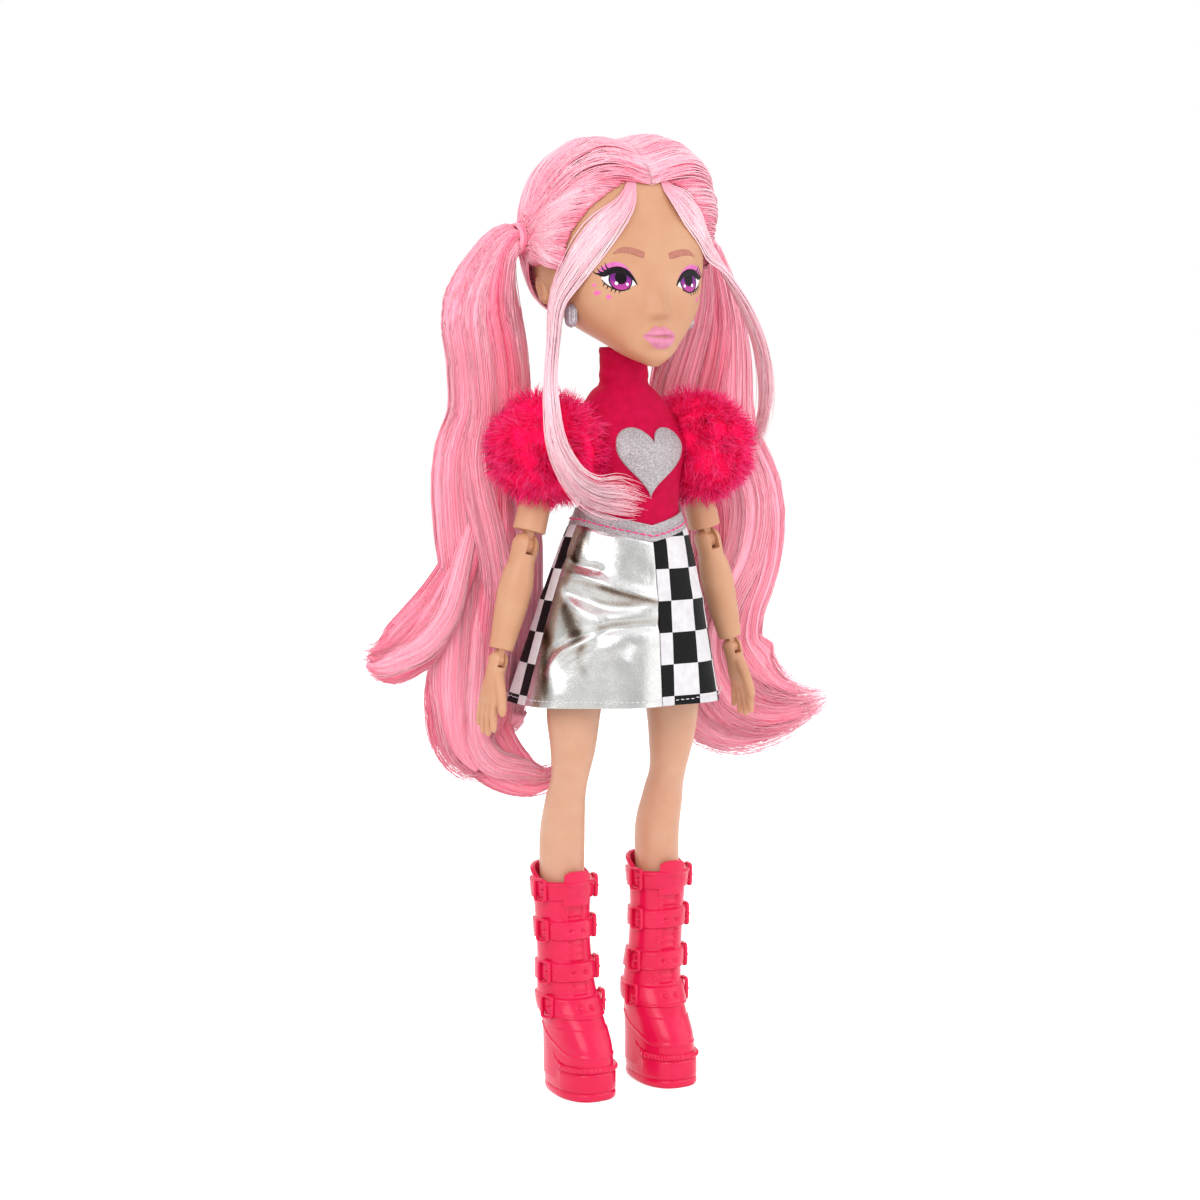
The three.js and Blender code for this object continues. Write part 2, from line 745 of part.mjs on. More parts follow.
const shoulderHingeSizes = {
  pegRadius: shoulderPegRadius,
  pegFrom: upperArmRadius + runningGap,
  pegLength: shoulderPegLength,
  tongueRadius: shoulderTongueRadius,
  thickness: shoulderTongueThickness,
  pinRadius: armPinRadius,
  neckHalf: shoulderTongueThickness / 2,
};

const elbowHingeSizes = {
  pegRadius: elbowPegRadius,
  pegFrom: elbowDomeRadius + fit,
  pegLength: elbowPegLength,
  tongueRadius: elbowTongueRadius,
  thickness: elbowTongueThickness,
  pinRadius: armPinRadius,
  neckHalf: elbowTongueThickness / 2,
};

const wristHingeSizes = {
  pegRadius: wristPegRadius,
  pegFrom: wristDomeRadius + fit,
  pegLength: wristPegLength,
  tongueRadius: wristTongueRadius,
  thickness: wristTongueThickness,
  pinRadius: wristPinRadius,
  neckHalf: wristTongueThickness / 2,
};

function upperArmBody(grow = 0) {
  const narrow = (upperArmRadius + elbowCutRadius) * 0.46;
  return limb(upperArmRadius, [
    [-upperArmLength * 0.28, upperArmRadius * 0.95, upperArmRadius * 0.95],
    [-upperArmLength * 0.65, narrow, narrow],
    [-upperArmLength - grow, elbowCutRadius, elbowCutRadius],
  ], grow);
}

function upperArm() {
  const reach = upperArmRadius + cutOverrun;
  const slotBottom = -shoulderTongueRadius - fit;
  const slotHalf = shoulderTongueThickness / 2 + fit;
  const slot = box(-reach, -slotBottom, -slotHalf, slotHalf, slotBottom, reach);
  const pinBore = rod('y', -reach, reach, armPinRadius + fit, pinSides);
  const boreTop = -upperArmLength + elbowPegLength + fit;
  const elbowBore = rod('z', -upperArmLength - cutOverrun, boreTop, elbowPegRadius + fit);
  return hang(cut(upperArmBody(), slot, pinBore, elbowBore), alongArm(0));
}

function forearm() {
  const end = -(forearmLength - fit - elbowDomeRadius);
  const neckShare = 0.97; // drawn in below the dome, so that the elbow folds
  const narrow = (forearmRadius + wristCutRadius) * 0.47;
  const body = limb(elbowDomeRadius, [
    [-elbowDomeRadius * 1.2, elbowDomeRadius * neckShare, elbowDomeRadius * neckShare],
    [end * 0.26, forearmRadius * 0.9, forearmRadius * 0.88],
    [end * 0.42, forearmRadius, forearmRadius * 0.96],
    [end * 0.85, narrow, narrow],
    [end, wristCutRadius, wristCutRadius],
  ]);
  const reach = elbowDomeRadius + cutOverrun;
  const slotBottom = -elbowTongueRadius - fit;
  const slotHalf = elbowTongueThickness / 2 + fit;
  const slot = box(-slotHalf, slotHalf, -reach, -slotBottom, slotBottom, reach);
  const pinBore = rod('x', -reach, reach, armPinRadius + fit, pinSides);
  const wristBore = rod('z', end - cutOverrun, end + wristPegLength + fit, wristPegRadius + fit);
  return hang(cut(body, slot, pinBore, wristBore), alongArm(elbowDistance));
}

// A finger's taper: how far down its length, and its thickness there.
const fingerShares = [
  [0, 1],
  [0.5, 0.92],
  [0.88, 0.72],
  [1, 0.3],
];
const fingerCurl = 0.16; // tip towards the palm for each length

// A finger from its knuckle: a tapered tube, spread sideways and curled.
function finger(start, spread, length, radius) {
  return sweep(fingerShares.map(([share, thickness]) => [
    start.x - length * fingerCurl * share ** 2,
    start.y + spread * share,
    start.z - length * share,
    radius * thickness,
    radius * thickness,
  ]), 1, 6);
}

const knuckleShares = [-0.72, -0.24, 0.24, 0.7]; // knuckles across the palm
const fingerLengthShares = [0.42, 0.48, 0.46, 0.37]; // first finger to little finger

function hand() {
  const tip = handLength - fit - wristDomeRadius; // wrist pin to fingertips
  const palmEnd = -tip * 0.56;
  const palm = limb(wristDomeRadius, [
    [-tip * 0.14, wristDomeRadius * 0.92, wristDomeRadius],
    [-tip * 0.3, palmHalfThickness, palmHalfWidth * 0.82],
    [-tip * 0.45, palmHalfThickness * 0.92, palmHalfWidth],
    [palmEnd, palmHalfThickness * 0.65, palmHalfWidth * 0.96],
  ]);
  const fingers = knuckleShares.map((share, i) => {
    const start = new THREE.Vector3(0, share * palmHalfWidth, palmEnd + fingerRadius);
    return finger(start, share * palmHalfWidth * 0.35, fingerLengthShares[i] * tip, fingerRadius);
  });
  const thumb = sweep([
    [0, -palmHalfWidth * 0.3, -tip * 0.18, thumbRadius, thumbRadius],
    [-thumbRadius * 0.4, -palmHalfWidth * 1.02, -tip * 0.38, thumbRadius * 1.1, thumbRadius * 1.1],
    [-thumbRadius * 0.8, -palmHalfWidth * 1.35, -tip * 0.56, thumbRadius, thumbRadius],
    [-thumbRadius, -palmHalfWidth * 1.5, -tip * 0.68, thumbRadius * 0.5, thumbRadius * 0.5],
  ], 1, 6);
  const reach = wristDomeRadius + cutOverrun;
  const slotBottom = -wristTongueRadius - fit;
  const slotHalf = wristTongueThickness / 2 + fit;
  const slot = box(-slotHalf, slotHalf, -reach, reach, slotBottom, reach);
  const pinBore = rod('x', -reach, reach, wristPinRadius + fit, pinSides);
  return hang(cut(join(palm, ...fingers, thumb), slot, pinBore), alongArm(wristDistance));
}

function puffCentre() {
  return new THREE.Vector3(shoulderSpread + puffReach, puffSetback, shoulderHeight - puffDrop);
}

function puffBody(grow = 0) {
  const centre = puffCentre();
  const geometry = new THREE.SphereGeometry(1, 14, 8).rotateX(Math.PI / 2);
  geometry.scale(puffHalfWidth + grow, puffHalfDepth + grow, puffHalfHeight + grow);
  return geometry.translate(centre.x, centre.y, centre.z);
}

function furSleeve() {
  const bodice = torsoLoft(bodiceGrow + fit, hipHeight, collarHeight);
  const arm = hang(upperArmBody(fit), alongArm(0));
  const reach = shoulderSpread + puffHalfWidth;
  const armhole = rod('x', 0, shoulderSpread, shoulderPegRadius + 2 * fit);
  const outerSide = box(0, reach + puffReach + cutOverrun, -reach, reach, hipHeight, skullHeight);
  return common(cut(puffBody(), bodice, arm, armhole.translate(0, armSetback, shoulderHeight)), outerSide);
}

function addArm(side, place) {
  const name = (piece) => `${side}_${piece}`;
  const add = (piece, geometry, colour, roughness, metalness) =>
    addPiece(name(piece), place(geometry), colour, roughness, metalness);
  const shoulderHub = pegHinge(shoulderHingeSizes);
  shoulderHub.translate(shoulderSpread, armSetback, shoulderHeight);
  add('shoulder_hub', shoulderHub, colours.plasticInside);
  add('shoulder_pin', hang(pin('y', shoulderPinLength, armPinRadius), alongArm(0)), colours.steel, 0.3, 1);
  add('upper_arm', upperArm(), colours.skin);
  add('fur_sleeve', furSleeve(), colours.fur, 0.95);
  add('elbow_hub', hang(raisedHinge(elbowHingeSizes), alongArm(elbowDistance)), colours.plasticInside);
  add('elbow_pin', hang(pin('x', armPinLength, armPinRadius), alongArm(elbowDistance)), colours.steel, 0.3, 1);
  add('forearm', forearm(), colours.skin);
  add('wrist_hub', hang(raisedHinge(wristHingeSizes), alongArm(wristDistance)), colours.plasticInside);
  const wristPin = pin('x', wristPinLength, wristPinRadius);
  add('wrist_pin', hang(wristPin, alongArm(wristDistance)), colours.steel, 0.3, 1);
  add('hand', hand(), colours.skin);
}

// Legs, modelled for the left side

const hipHingeSizes = {
  pegRadius: hipPegRadius,
  pegFrom: hipSpread - crotchHalfWidth - fit,
  pegLength: hipPegLength,
  tongueRadius: hipTongueRadius,
  thickness: hipTongueThickness,
  pinRadius: hipPinRadius,
  neckHalf: hipTongueThickness / 2,
};

const hipPinLength = 1.7 * hipDomeRadius;

function legBody(grow = 0) {
  const section = (x, y, z, radius) => [x, y, z, radius, radius];
  const aboveKnee = (hemLegRadius + kneeRadius) / 2;
  const belowKnee = (kneeRadius + calfRadius) / 2;
  const backAt = (share) => between(legSetback, calfSetback, share);
  const shinAt = (share) => between(bootHeight, kneeHeight, share);
  const inward = (share) => between(soleSpread, shaftSpread, share);
  const thigh = sweep([
    section(hipSpread, legSetback, hipHeight, hipDomeRadius),
    section(between(hipSpread, kneeSpread, 0.4), legSetback, between(hemHeight, hipHeight, 0.57), thighRadius),
    section(kneeSpread, legSetback, hemHeight, hemLegRadius),
    section(kneeSpread, backAt(0.07), between(kneeHeight, hemHeight, 0.46), aboveKnee),
    section(kneeSpread, backAt(0.34), kneeHeight, kneeRadius),
    section(kneeSpread, backAt(0.7), shinAt(0.66), belowKnee),
    section(shaftSpread, calfSetback, shinAt(0.25), calfRadius),
    section(shaftSpread, calfSetback, bootHeight * 0.86, calfRadius * 0.96),
    section(inward(0.6), calfSetback, bootHeight * 0.5, ankleRadius * 1.03),
    section(inward(0.3), calfSetback, heelHeight * 1.36, ankleRadius),
  ], 1, legSides, grow);
  const footAt = (share) => between(-soleToe, calfSetback, share);
  const foot = sweep([
    [inward(0.3), calfSetback, heelHeight * 1.42, ankleRadius * 0.94, ankleRadius * 0.9],
    [soleSpread, footAt(0.84), heelHeight * 1.12, ankleRadius, ankleRadius * 0.95],
    [soleSpread, footAt(0.55), platformHeight * 1.66, toeHalfWidth * 0.58, platformHeight * 0.37],
    [soleSpread, footAt(0.29), platformHeight * 1.36, toeHalfWidth * 0.62, platformHeight * 0.25],
    [soleSpread, footAt(0.15), platformHeight * 1.27, toeHalfWidth * 0.36, platformHeight * 0.12],
  ], 1, 8, grow);
  const dome = ball(hipSpread, legSetback, hipHeight, hipDomeRadius + grow, legSides);
  return join(thigh, foot, dome);
}

function leg() {
  const reach = hipDomeRadius + cutOverrun;
  const slotBottom = hipTongueRadius + fit;
  const slotHalf = hipTongueThickness / 2 + fit;
  const slot = box(-reach, slotBottom, -slotHalf, slotHalf, -slotBottom, reach);
  const pinBore = rod('y', -reach, reach, hipPinRadius + fit, pinSides);
  const place = (tool) => tool.translate(hipSpread, legSetback, hipHeight);
  return cut(legBody(), place(slot), place(pinBore));
}

// Boots, modelled for the left side

const soleHeel = soleLength - soleToe; // heel behind the body axis
const archShare = 0.3; // share of the sole's length that lies flat at the toe

// Upper sections: [height, middle, front, back, half width].
function bootStations() {
  const instep = heelHeight * 1.3;
  const ankle = between(instep, bootHeight, 0.33);
  const low = between(platformHeight, instep, 0.3);
  const middle = between(platformHeight, instep, 0.6);
  const toe = -(soleToe - weltOverhang);
  const heel = soleHeel - weltOverhang;
  const footHalfWidth = toeHalfWidth - weltOverhang;
  const [front, back] = [calfSetback - shaftRadius, calfSetback + shaftRadius];
  const inward = (share) => between(soleSpread, shaftSpread, share);
  return [
    [platformHeight * 0.5, soleSpread, toe, heel, footHalfWidth],
    [platformHeight * 1.1, soleSpread, toe, heel, footHalfWidth],
    [low, soleSpread, toe * 0.93, heel, footHalfWidth],
    [middle, soleSpread, toe * 0.66, heel, footHalfWidth],
    [instep, inward(0.2), calfSetback - instepRadius * 1.1, calfSetback + instepRadius, instepRadius],
    [ankle, inward(0.7), front, back, shaftRadius],
    [between(ankle, bootHeight, 0.5), shaftSpread, front, back, shaftRadius * 1.02],
    [bootHeight, shaftSpread, calfSetback - rimRadius, calfSetback + rimRadius, rimRadius],
  ];
}

const footSquareness = 0.8;
const shaftSquareness = 0.92;

function bootRing([z, x, front, back, halfWidth], grow = 0) {
  const squareness = z < heelHeight ? footSquareness : shaftSquareness;
  const halfDepth = (back - front) / 2 + grow;
  return levelRing(x, (front + back) / 2, z, halfWidth + grow, halfDepth, bootSides, squareness);
}

function bootAt(height) {
  const rows = smoothStations(bootStations(), 1);
  const i = Math.max(1, rows.findIndex((row) => row[0] >= height));
  const t = (height - rows[i - 1][0]) / (rows[i][0] - rows[i - 1][0]);
  return rows[i].map((value, k) => rows[i - 1][k] + (value - rows[i - 1][k]) * t);
}

// A level slice of the boot's outside between two heights, grown outward.
function bootSlice(low, high, grow) {
  return loft([bootRing(bootAt(low), grow), bootRing(bootAt(high), grow)]);
}

const soleSquareness = 0.72;

function soleRing(z) {
  const middle = (soleHeel - soleToe) / 2;
  return levelRing(0, middle, z, 1, soleLength / 2, bootSides, soleSquareness).map((p) => {
    const share = (soleHeel - p.y) / soleLength;
    const halfWidth = between(heelHalfWidth, toeHalfWidth, Math.min(1, share * 1.4));
    return new THREE.Vector3(soleSpread + p.x * halfWidth, p.y, z);
  });
}

// A prism along X from an outline of [y, z] points.
function prism(outline, from, to) {
  const shape = new THREE.Shape(outline.map(([y, z]) => new THREE.Vector2(y, z)));
  const geometry = new THREE.ExtrudeGeometry(shape, { depth: to - from, bevelEnabled: false });
  return geometry.rotateY(Math.PI / 2).rotateX(Math.PI / 2).translate(from, 0, 0);
}

function sole() {
  const block = loft([soleRing(0), soleRing(heelHeight)]);
  const flatEnd = -soleToe + soleLength * archShare;
  const ends = [-soleToe - cutOverrun, soleHeel + cutOverrun];
  const above = prism([
    [ends[0], platformHeight],
    [flatEnd, platformHeight],
    [soleHeel, heelHeight - fit],
    [ends[1], heelHeight - fit],
    [ends[1], heelHeight + cutOverrun],
    [ends[0], heelHeight + cutOverrun],
  ], 0, soleSpread + toeHalfWidth + cutOverrun);
  return cut(block, above);
}

const strapShares = [0.13, 0.34, 0.6, 0.85]; // strap places from the instep to the rim

const strapHeights = () => strapShares.map((share) => between(heelHeight, bootHeight, share));

function buckle(x, y, z, side) {
  const half = buckleWidth / 2;
  const halfTall = buckleHeight / 2;
  const deep = side * (strapThickness + buckleBar);
  const [x0, x1] = [Math.min(x - deep, x + side * buckleBar), Math.max(x - deep, x + side * buckleBar)];
  const frame = box(x0, x1, y - half, y + half, z - halfTall, z + halfTall);
  const windowInside = Math.min(x, x + side * cutOverrun);
  const windowOutside = Math.max(x, x + side * cutOverrun);
  const inner = [half - buckleBar, halfTall - buckleBar];
  const opening = box(windowInside, windowOutside, y - inner[0], y + inner[0], z - inner[1], z + inner[1]);
  return cut(frame, opening);
}

function bootTongue() {
  const top = bootHeight - rimDrop + tongueRise;
  const bottom = bootHeight - rimDrop - strapHeight;
  const plate = cut(bootSlice(bottom, top, 0), bootSlice(bottom - cutOverrun, bootHeight, -bootWall));
  const [left, right] = [shaftSpread - tongueHalfWidth, shaftSpread + tongueHalfWidth];
  return common(plate, box(left, right, calfSetback - rimRadius - cutOverrun, calfSetback, bottom, top));
}

function boot() {
  const upper = loft(smoothStations(bootStations(), 1).map((row) => bootRing(row)));
  const half = strapHeight / 2;
  const straps = strapHeights().map((z) => bootSlice(z - half, z + half, strapThickness));
  const buckles = strapHeights().flatMap((z) => {
    const [, x, front, back, halfWidth] = bootAt(z);
    const y = (front + back) / 2 - strapThickness;
    const out = halfWidth + strapThickness;
    return [buckle(x + out, y, z, 1), buckle(x - out, y, z, -1)];
  });
  const open = rimRadius - bootWall;
  const mouth = loft([
    levelRing(shaftSpread, calfSetback, bootHeight - flareHeight, calfRadius, calfRadius, bootSides),
    levelRing(shaftSpread, calfSetback, bootHeight + cutOverrun, open, open, bootSides),
  ]);
  const rimSlope = prism([
    [calfSetback - rimRadius - cutOverrun, bootHeight - rimDrop],
    [calfSetback - rimRadius * 0.4, bootHeight - rimDrop],
    [calfSetback + rimRadius, bootHeight - fit],
    [calfSetback + rimRadius, bootHeight + cutOverrun],
    [calfSetback - rimRadius - cutOverrun, bootHeight + cutOverrun],
  ], 0, shaftSpread + rimRadius + cutOverrun);
  const outside = cut(join(upper, sole(), ...straps, ...buckles), rimSlope);
  return cut(join(outside, bootTongue()), mouth, legBody(fit));
}

function addLeg(side, place) {
  const hub = pegHinge(hipHingeSizes).translate(hipSpread, legSetback, hipHeight);
  const hipPin = pin('y', hipPinLength, hipPinRadius).translate(hipSpread, legSetback, hipHeight);
  addPiece(`${side}_hip_hub`, place(hub), colours.plasticInside);
  addPiece(`${side}_hip_pin`, place(hipPin), colours.steel, 0.3, 1);
  addPiece(`${side}_leg`, place(leg()), colours.skin);
  addPiece(`${side}_boot`, place(boot()), colours.vinyl, 0.25);
}

// Neck and head

function neckKnob() {
  const peg = rod('z', neckTop - neckPegLength, neckTop + fit, neckPegRadius);
  const flange = rod('z', neckTop + fit / 2, neckTop + fit + neckFlangeThickness, neckFlangeRadius);
  const post = rod('z', neckTop, nodHeight, nodBarrelRadius * 0.7);
  const barrel = rod('x', -nodBarrelLength / 2, nodBarrelLength / 2, nodBarrelRadius);
  return join(peg, flange, post, barrel.translate(0, 0, nodHeight)).translate(0, legSetback, 0);
}

// Head sections as shares: height, half width, front reach, back reach.
const headShares = [
  [0, 0.05, 0.88, -0.44],
  [0.04, 0.25, 1, -0.2],
  [0.106, 0.47, 1.02, 0.07],
  [0.187, 0.7, 0.99, 0.42],
  [0.285, 0.86, 0.97, 0.7],
  [0.4, 0.95, 0.93, 0.9],
  [0.545, 1, 0.9, 1],
  [0.72, 0.97, 0.8, 1],
  [0.87, 0.78, 0.6, 0.85],
  [0.93, 0.6, 0.37, 0.71],
  [0.972, 0.4, 0.09, 0.56],
  [0.992, 0.2, -0.19, 0.41],
  [1, 0.06, -0.39, 0.3],
];

function headRows(grow) {
  return headShares.map(([height, width, front, back]) => ({
    z: between(chinHeight - grow, skullHeight + grow, height),
    halfWidth: width * headHalfWidth + grow,
    front: -front * faceReach - grow,
    back: back * skullReach + grow,
  }));
}

function headLoft(grow) {
  return loft(headRows(grow).map(({ z, halfWidth, front, back }) =>
    levelRing(0, (front + back) / 2, z, halfWidth, (back - front) / 2, bodySides)));
}

function headAt(height) {
  const rows = headRows(0);
  const i = Math.max(1, rows.findIndex((row) => row.z >= height));
  const t = (height - rows[i - 1].z) / (rows[i].z - rows[i - 1].z);
  const mix = (key) => rows[i - 1][key] + (rows[i][key] - rows[i - 1][key]) * t;
  return { halfWidth: mix('halfWidth'), front: mix('front'), back: mix('back') };
}

// The skin's distance from the middle plane at a height and a place along Y.
function cheekAt(height, y) {
  const { halfWidth, front, back } = headAt(height);
  const share = (y - (front + back) / 2) / ((back - front) / 2);
  return halfWidth * Math.sqrt(Math.max(0, 1 - share ** 2));
}

const earLevel = between(chinHeight, skullHeight, 0.332);

function ears(grow) {
  const reach = cheekAt(earLevel, earSetback);
  return [1, -1].map((side) => {
    const ear = new THREE.SphereGeometry(1, 10, 6).rotateX(Math.PI / 2);
    ear.scale(earThickness + grow, earDepth / 2 + grow, earHeight / 2 + grow);
    return ear.translate(side * reach, earSetback, earLevel);
  });
}

function face() {
  const { front } = headAt(noseHeight);
  const nose = new THREE.SphereGeometry(1, 10, 8).rotateX(Math.PI / 2);
  nose.scale(noseReach * 0.62, noseReach, noseReach * 1.3).translate(0, front, noseHeight + noseReach * 0.3);
  const lipHeight = between(chinHeight, noseHeight, 0.48);
  const lipDepth = headAt(lipHeight).front;
  const lips = new THREE.SphereGeometry(1, 10, 6).rotateX(Math.PI / 2);
  lips.scale(noseReach * 1.25, noseReach * 0.5, noseReach * 0.72).translate(0, lipDepth, lipHeight);
  return [nose, lips];
}

function head() {
  const collarRadius = neckRadius + bodiceGrow;
  const mouth = collarRadius + neckHoleFlare + nodBarrelRadius * 0.75;
  const holeTop = nodHeight - nodBarrelRadius * 0.45;
  const hole = loft([
    levelRing(0, legSetback, chinHeight, mouth, mouth, bodySides),
    levelRing(0, legSetback, holeTop, nodBarrelRadius * 1.3, nodBarrelRadius * 1.3, bodySides),
  ]);
  const socket = rod('x', -nodBarrelLength / 2 - fit, nodBarrelLength / 2 + fit, nodBarrelRadius + fit);
  socket.translate(0, legSetback, nodHeight);
  return cut(join(headLoft(0), ...ears(0), ...face()), hole, socket);
}

// Rooted hair: a cap over the scalp behind a slanted hairline

const templeHeight = between(chinHeight, skullHeight, 0.447);
const templeReach = faceReach * 0.18;
const napeHeight = between(chinHeight, skullHeight, 0.147);

// The space in front of the slanted hairline, moved forward by a gap.
function beforeHairline(gap) {
  const hairlineReach = -headAt(hairlineHeight).front;
  const slope = (hairlineReach - templeReach) / (hairlineHeight - templeHeight);
  const yAt = (z) => -templeReach - gap - slope * (z - templeHeight);
  const [low, high] = [chinHeight - hairThickness, skullHeight + hairThickness + cutOverrun];
  const far = Math.max(faceReach * 2, -yAt(high)) + headHalfWidth;
  return prism([[-far, low], [yAt(low), low], [yAt(high), high], [-far, high]], -far, far);
}

function hairCap() {
  const far = skullReach * 2;
  const belowNape = box(-far, far, -far, far, chinHeight - hairThickness - cutOverrun, napeHeight);
  return cut(headLoft(hairThickness), beforeHairline(0), belowNape, headLoft(fit), ...ears(fit));
}

function earring() {
  const z = earLevel - earHeight / 2 - earringRadius * 0.6;
  const y = earSetback - earringRadius;
  const inside = cheekAt(z, y) + fit;
  const disc = rod('x', inside, inside + earringThickness, earringRadius).translate(0, y, z);
  return cut(disc, headLoft(fit), ...ears(fit));
}

const elasticReach = pigtailRootSpread + hairThickness * 0.5;

function elasticRing(grow) {
  const tube = elasticTube / 2 + grow;
  const profile = [];
  const steps = 6;
  for (let i = 0; i <= steps; i += 1) {
    const angle = (i / steps) * 2 * Math.PI;
    const out = elasticRadius - elasticTube / 2 + Math.cos(angle) * tube;
    profile.push(new THREE.Vector2(out, Math.sin(angle) * tube));
  }
  const ring = new THREE.LatheGeometry(profile, 12).rotateZ(Math.PI / 2);
  return ring.translate(elasticReach + elasticTube, pigtailRootSetback, pigtailRootHeight);
}

const elastic = () => cut(elasticRing(0), headLoft(hairThickness + fit));

// Locks of hair, as shares chosen by hand: reach, setback, height, half width, half depth.
const rightPigtailShares = [
  [
    [0.205, 0.084, 0.985, 0.42, 0.34],
    [0.253, 0.163, 0.882, 0.62, 0.41],
    [0.173, 0.279, 0.79, 0.7, 0.44],
    [0.118, 0.394, 0.693, 0.72, 0.46],
    [0.157, 0.463, 0.6, 0.84, 0.47],
    [0.118, 0.511, 0.497, 0.92, 0.47],
    [0.094, 0.558, 0.392, 0.9, 0.44],
    [0.141, 0.578, 0.288, 0.97, 0.41],
    [0.205, 0.578, 0.183, 1, 0.38],
    [0.237, 0.533, 0.105, 0.74, 0.32],
    [0.11, 0.485, 0.052, 0.45, 0.26],
    [-0.113, 0.44, 0.035, 0.2, 0.15],
    [-0.32, 0.416, 0.06, 0.07, 0.06],
  ],
  [
    [0.3, 0.526, 0.4, 0.2, 0.2],
    [0.459, 0.479, 0.31, 0.3, 0.24],
    [0.666, 0.4, 0.25, 0.26, 0.2],
    [0.857, 0.305, 0.215, 0.2, 0.15],
    [0.944, 0.258, 0.235, 0.08, 0.06],
  ],
];

const leftPigtailShares = [
  [
    [0.205, 0.084, 0.985, 0.42, 0.34],
    [0.253, 0.163, 0.882, 0.62, 0.41],
    [0.253, 0.258, 0.79, 0.7, 0.42],
    [0.277, 0.305, 0.7, 0.73, 0.42],
    [0.348, 0.321, 0.61, 0.84, 0.42],
    [0.451, 0.321, 0.52, 0.93, 0.42],
    [0.428, 0.321, 0.42, 0.88, 0.41],
    [0.332, 0.321, 0.33, 0.85, 0.4],
    [0.34, 0.305, 0.235, 0.88, 0.37],
    [0.459, 0.242, 0.165, 0.88, 0.32],
    [0.618, 0.148, 0.13, 0.5, 0.24],
    [0.793, 0.021, 0.14, 0.25, 0.16],
    [0.944, -0.089, 0.17, 0.08, 0.06],
  ],
];

// The stretch of a pigtail inside its elastic, from the scalp outward.
function pigtailRoot() {
  const radius = elasticRadius - elasticTube - 2 * fit;
  return [-2, 3].map((tubes) => {
    const reach = elasticReach + tubes * elasticTube;
    return [reach, pigtailRootSetback, pigtailRootHeight, radius, radius];
  });
}

// The first lock of a table hangs from the elastic and the others join it lower down.
function locks(tables) {
  return tables.map((table, i) => {
    const stations = table.map(([reach, setback, height, width, depth]) => [
      between(pigtailRootSpread, pigtailReach, reach),
      between(pigtailRootSetback, backReach, setback),
      pigtailRootHeight - (1 - height) * pigtailLength,
      width * pigtailHalfWidth,
      depth * pigtailHalfWidth,
    ]);
    return sweep(i === 0 ? [...pigtailRoot(), ...stations] : stations, 2, hairSides);
  });
}

// Everything on the left side that hair lies against, grown by the fit.
function besideHair() {
  const skirtGuard = loft([1, 0.75, 0.5, 0.25, 0].map((drop) => {
    const ring = [];
    for (let i = 0; i < bodySides; i += 1) {
      ring.push(skirtPoint((i / bodySides) * 2 * Math.PI, drop, clothThickness + 4 * fit, false));
    }
    return ring;
  }));
  const armRadius = forearmRadius + fit;
  const besideArm = limb(upperArmRadius + fit, [[-fingertipDistance, armRadius, armRadius]]);
  return [
    headLoft(hairThickness + fit),
    torsoLoft(bodiceGrow + fit + closureThickness + fit, hipHeight, collarHeight),
    skirtGuard,
    puffBody(fit),
    hang(besideArm, alongArm(0)),
  ];
}

function pigtail(tables) {
  return cut(join(...locks(tables)), elasticRing(fit), ...besideHair());
}

// Face-framing tendrils: [reach, setback, height, half width, half depth] as shares.
const rightTendrilShares = [
  [0.06, -0.93, 0.985, 0.6, 0.35],
  [0.3, -0.83, 0.9, 1, 0.4],
  [0.66, -0.64, 0.76, 1.3, 0.45],
  [0.9, -0.33, 0.53, 1.4, 0.5],
  [1.03, -0.13, 0.35, 1.1, 0.5],
  [1.12, -0.1, 0.18, 1, 0.5],
  [1.32, -0.35, 0.01, 1, 0.5],
  [1.42, -0.74, -0.13, 1, 0.5],
  [1.36, -0.93, -0.27, 1, 0.5],
  [1.13, -0.98, -0.37, 1, 0.5],
  [0.8, -0.96, -0.42, 0.5, 0.3],
];

const leftTendrilShares = [
  [0.06, -0.93, 0.985, 0.6, 0.35],
  [0.3, -0.83, 0.9, 1, 0.4],
  [0.62, -0.66, 0.79, 1.2, 0.45],
  [0.93, -0.42, 0.66, 1.2, 0.5],
  [1.3, -0.25, 0.53, 1.1, 0.5],
  [1.62, -0.16, 0.37, 1, 0.5],
  [1.82, -0.13, 0.17, 1, 0.5],
  [1.93, -0.1, 0, 0.9, 0.5],
  [1.92, -0.02, -0.11, 0.4, 0.3],
];

function tendril(table) {
  const tall = hairlineHeight - chinHeight;
  const lock = sweep(table.map(([reach, setback, height, width, depth]) => [
    reach * headHalfWidth,
    setback * (faceReach + hairThickness),
    chinHeight + height * tall,
    width * tendrilRadius,
    depth * tendrilRadius,
  ]), 2, 8);
  const bodice = torsoLoft(bodiceGrow + heartThickness + 2 * fit, hipHeight, collarHeight);
  return cut(lock, headLoft(fit), hairCapGuard(), ...ears(fit), puffBody(fit), bodice);
}

// The hair cap's outside, grown by the fit.
const hairCapGuard = () => cut(headLoft(hairThickness + fit), beforeHairline(fit));

// Assembly

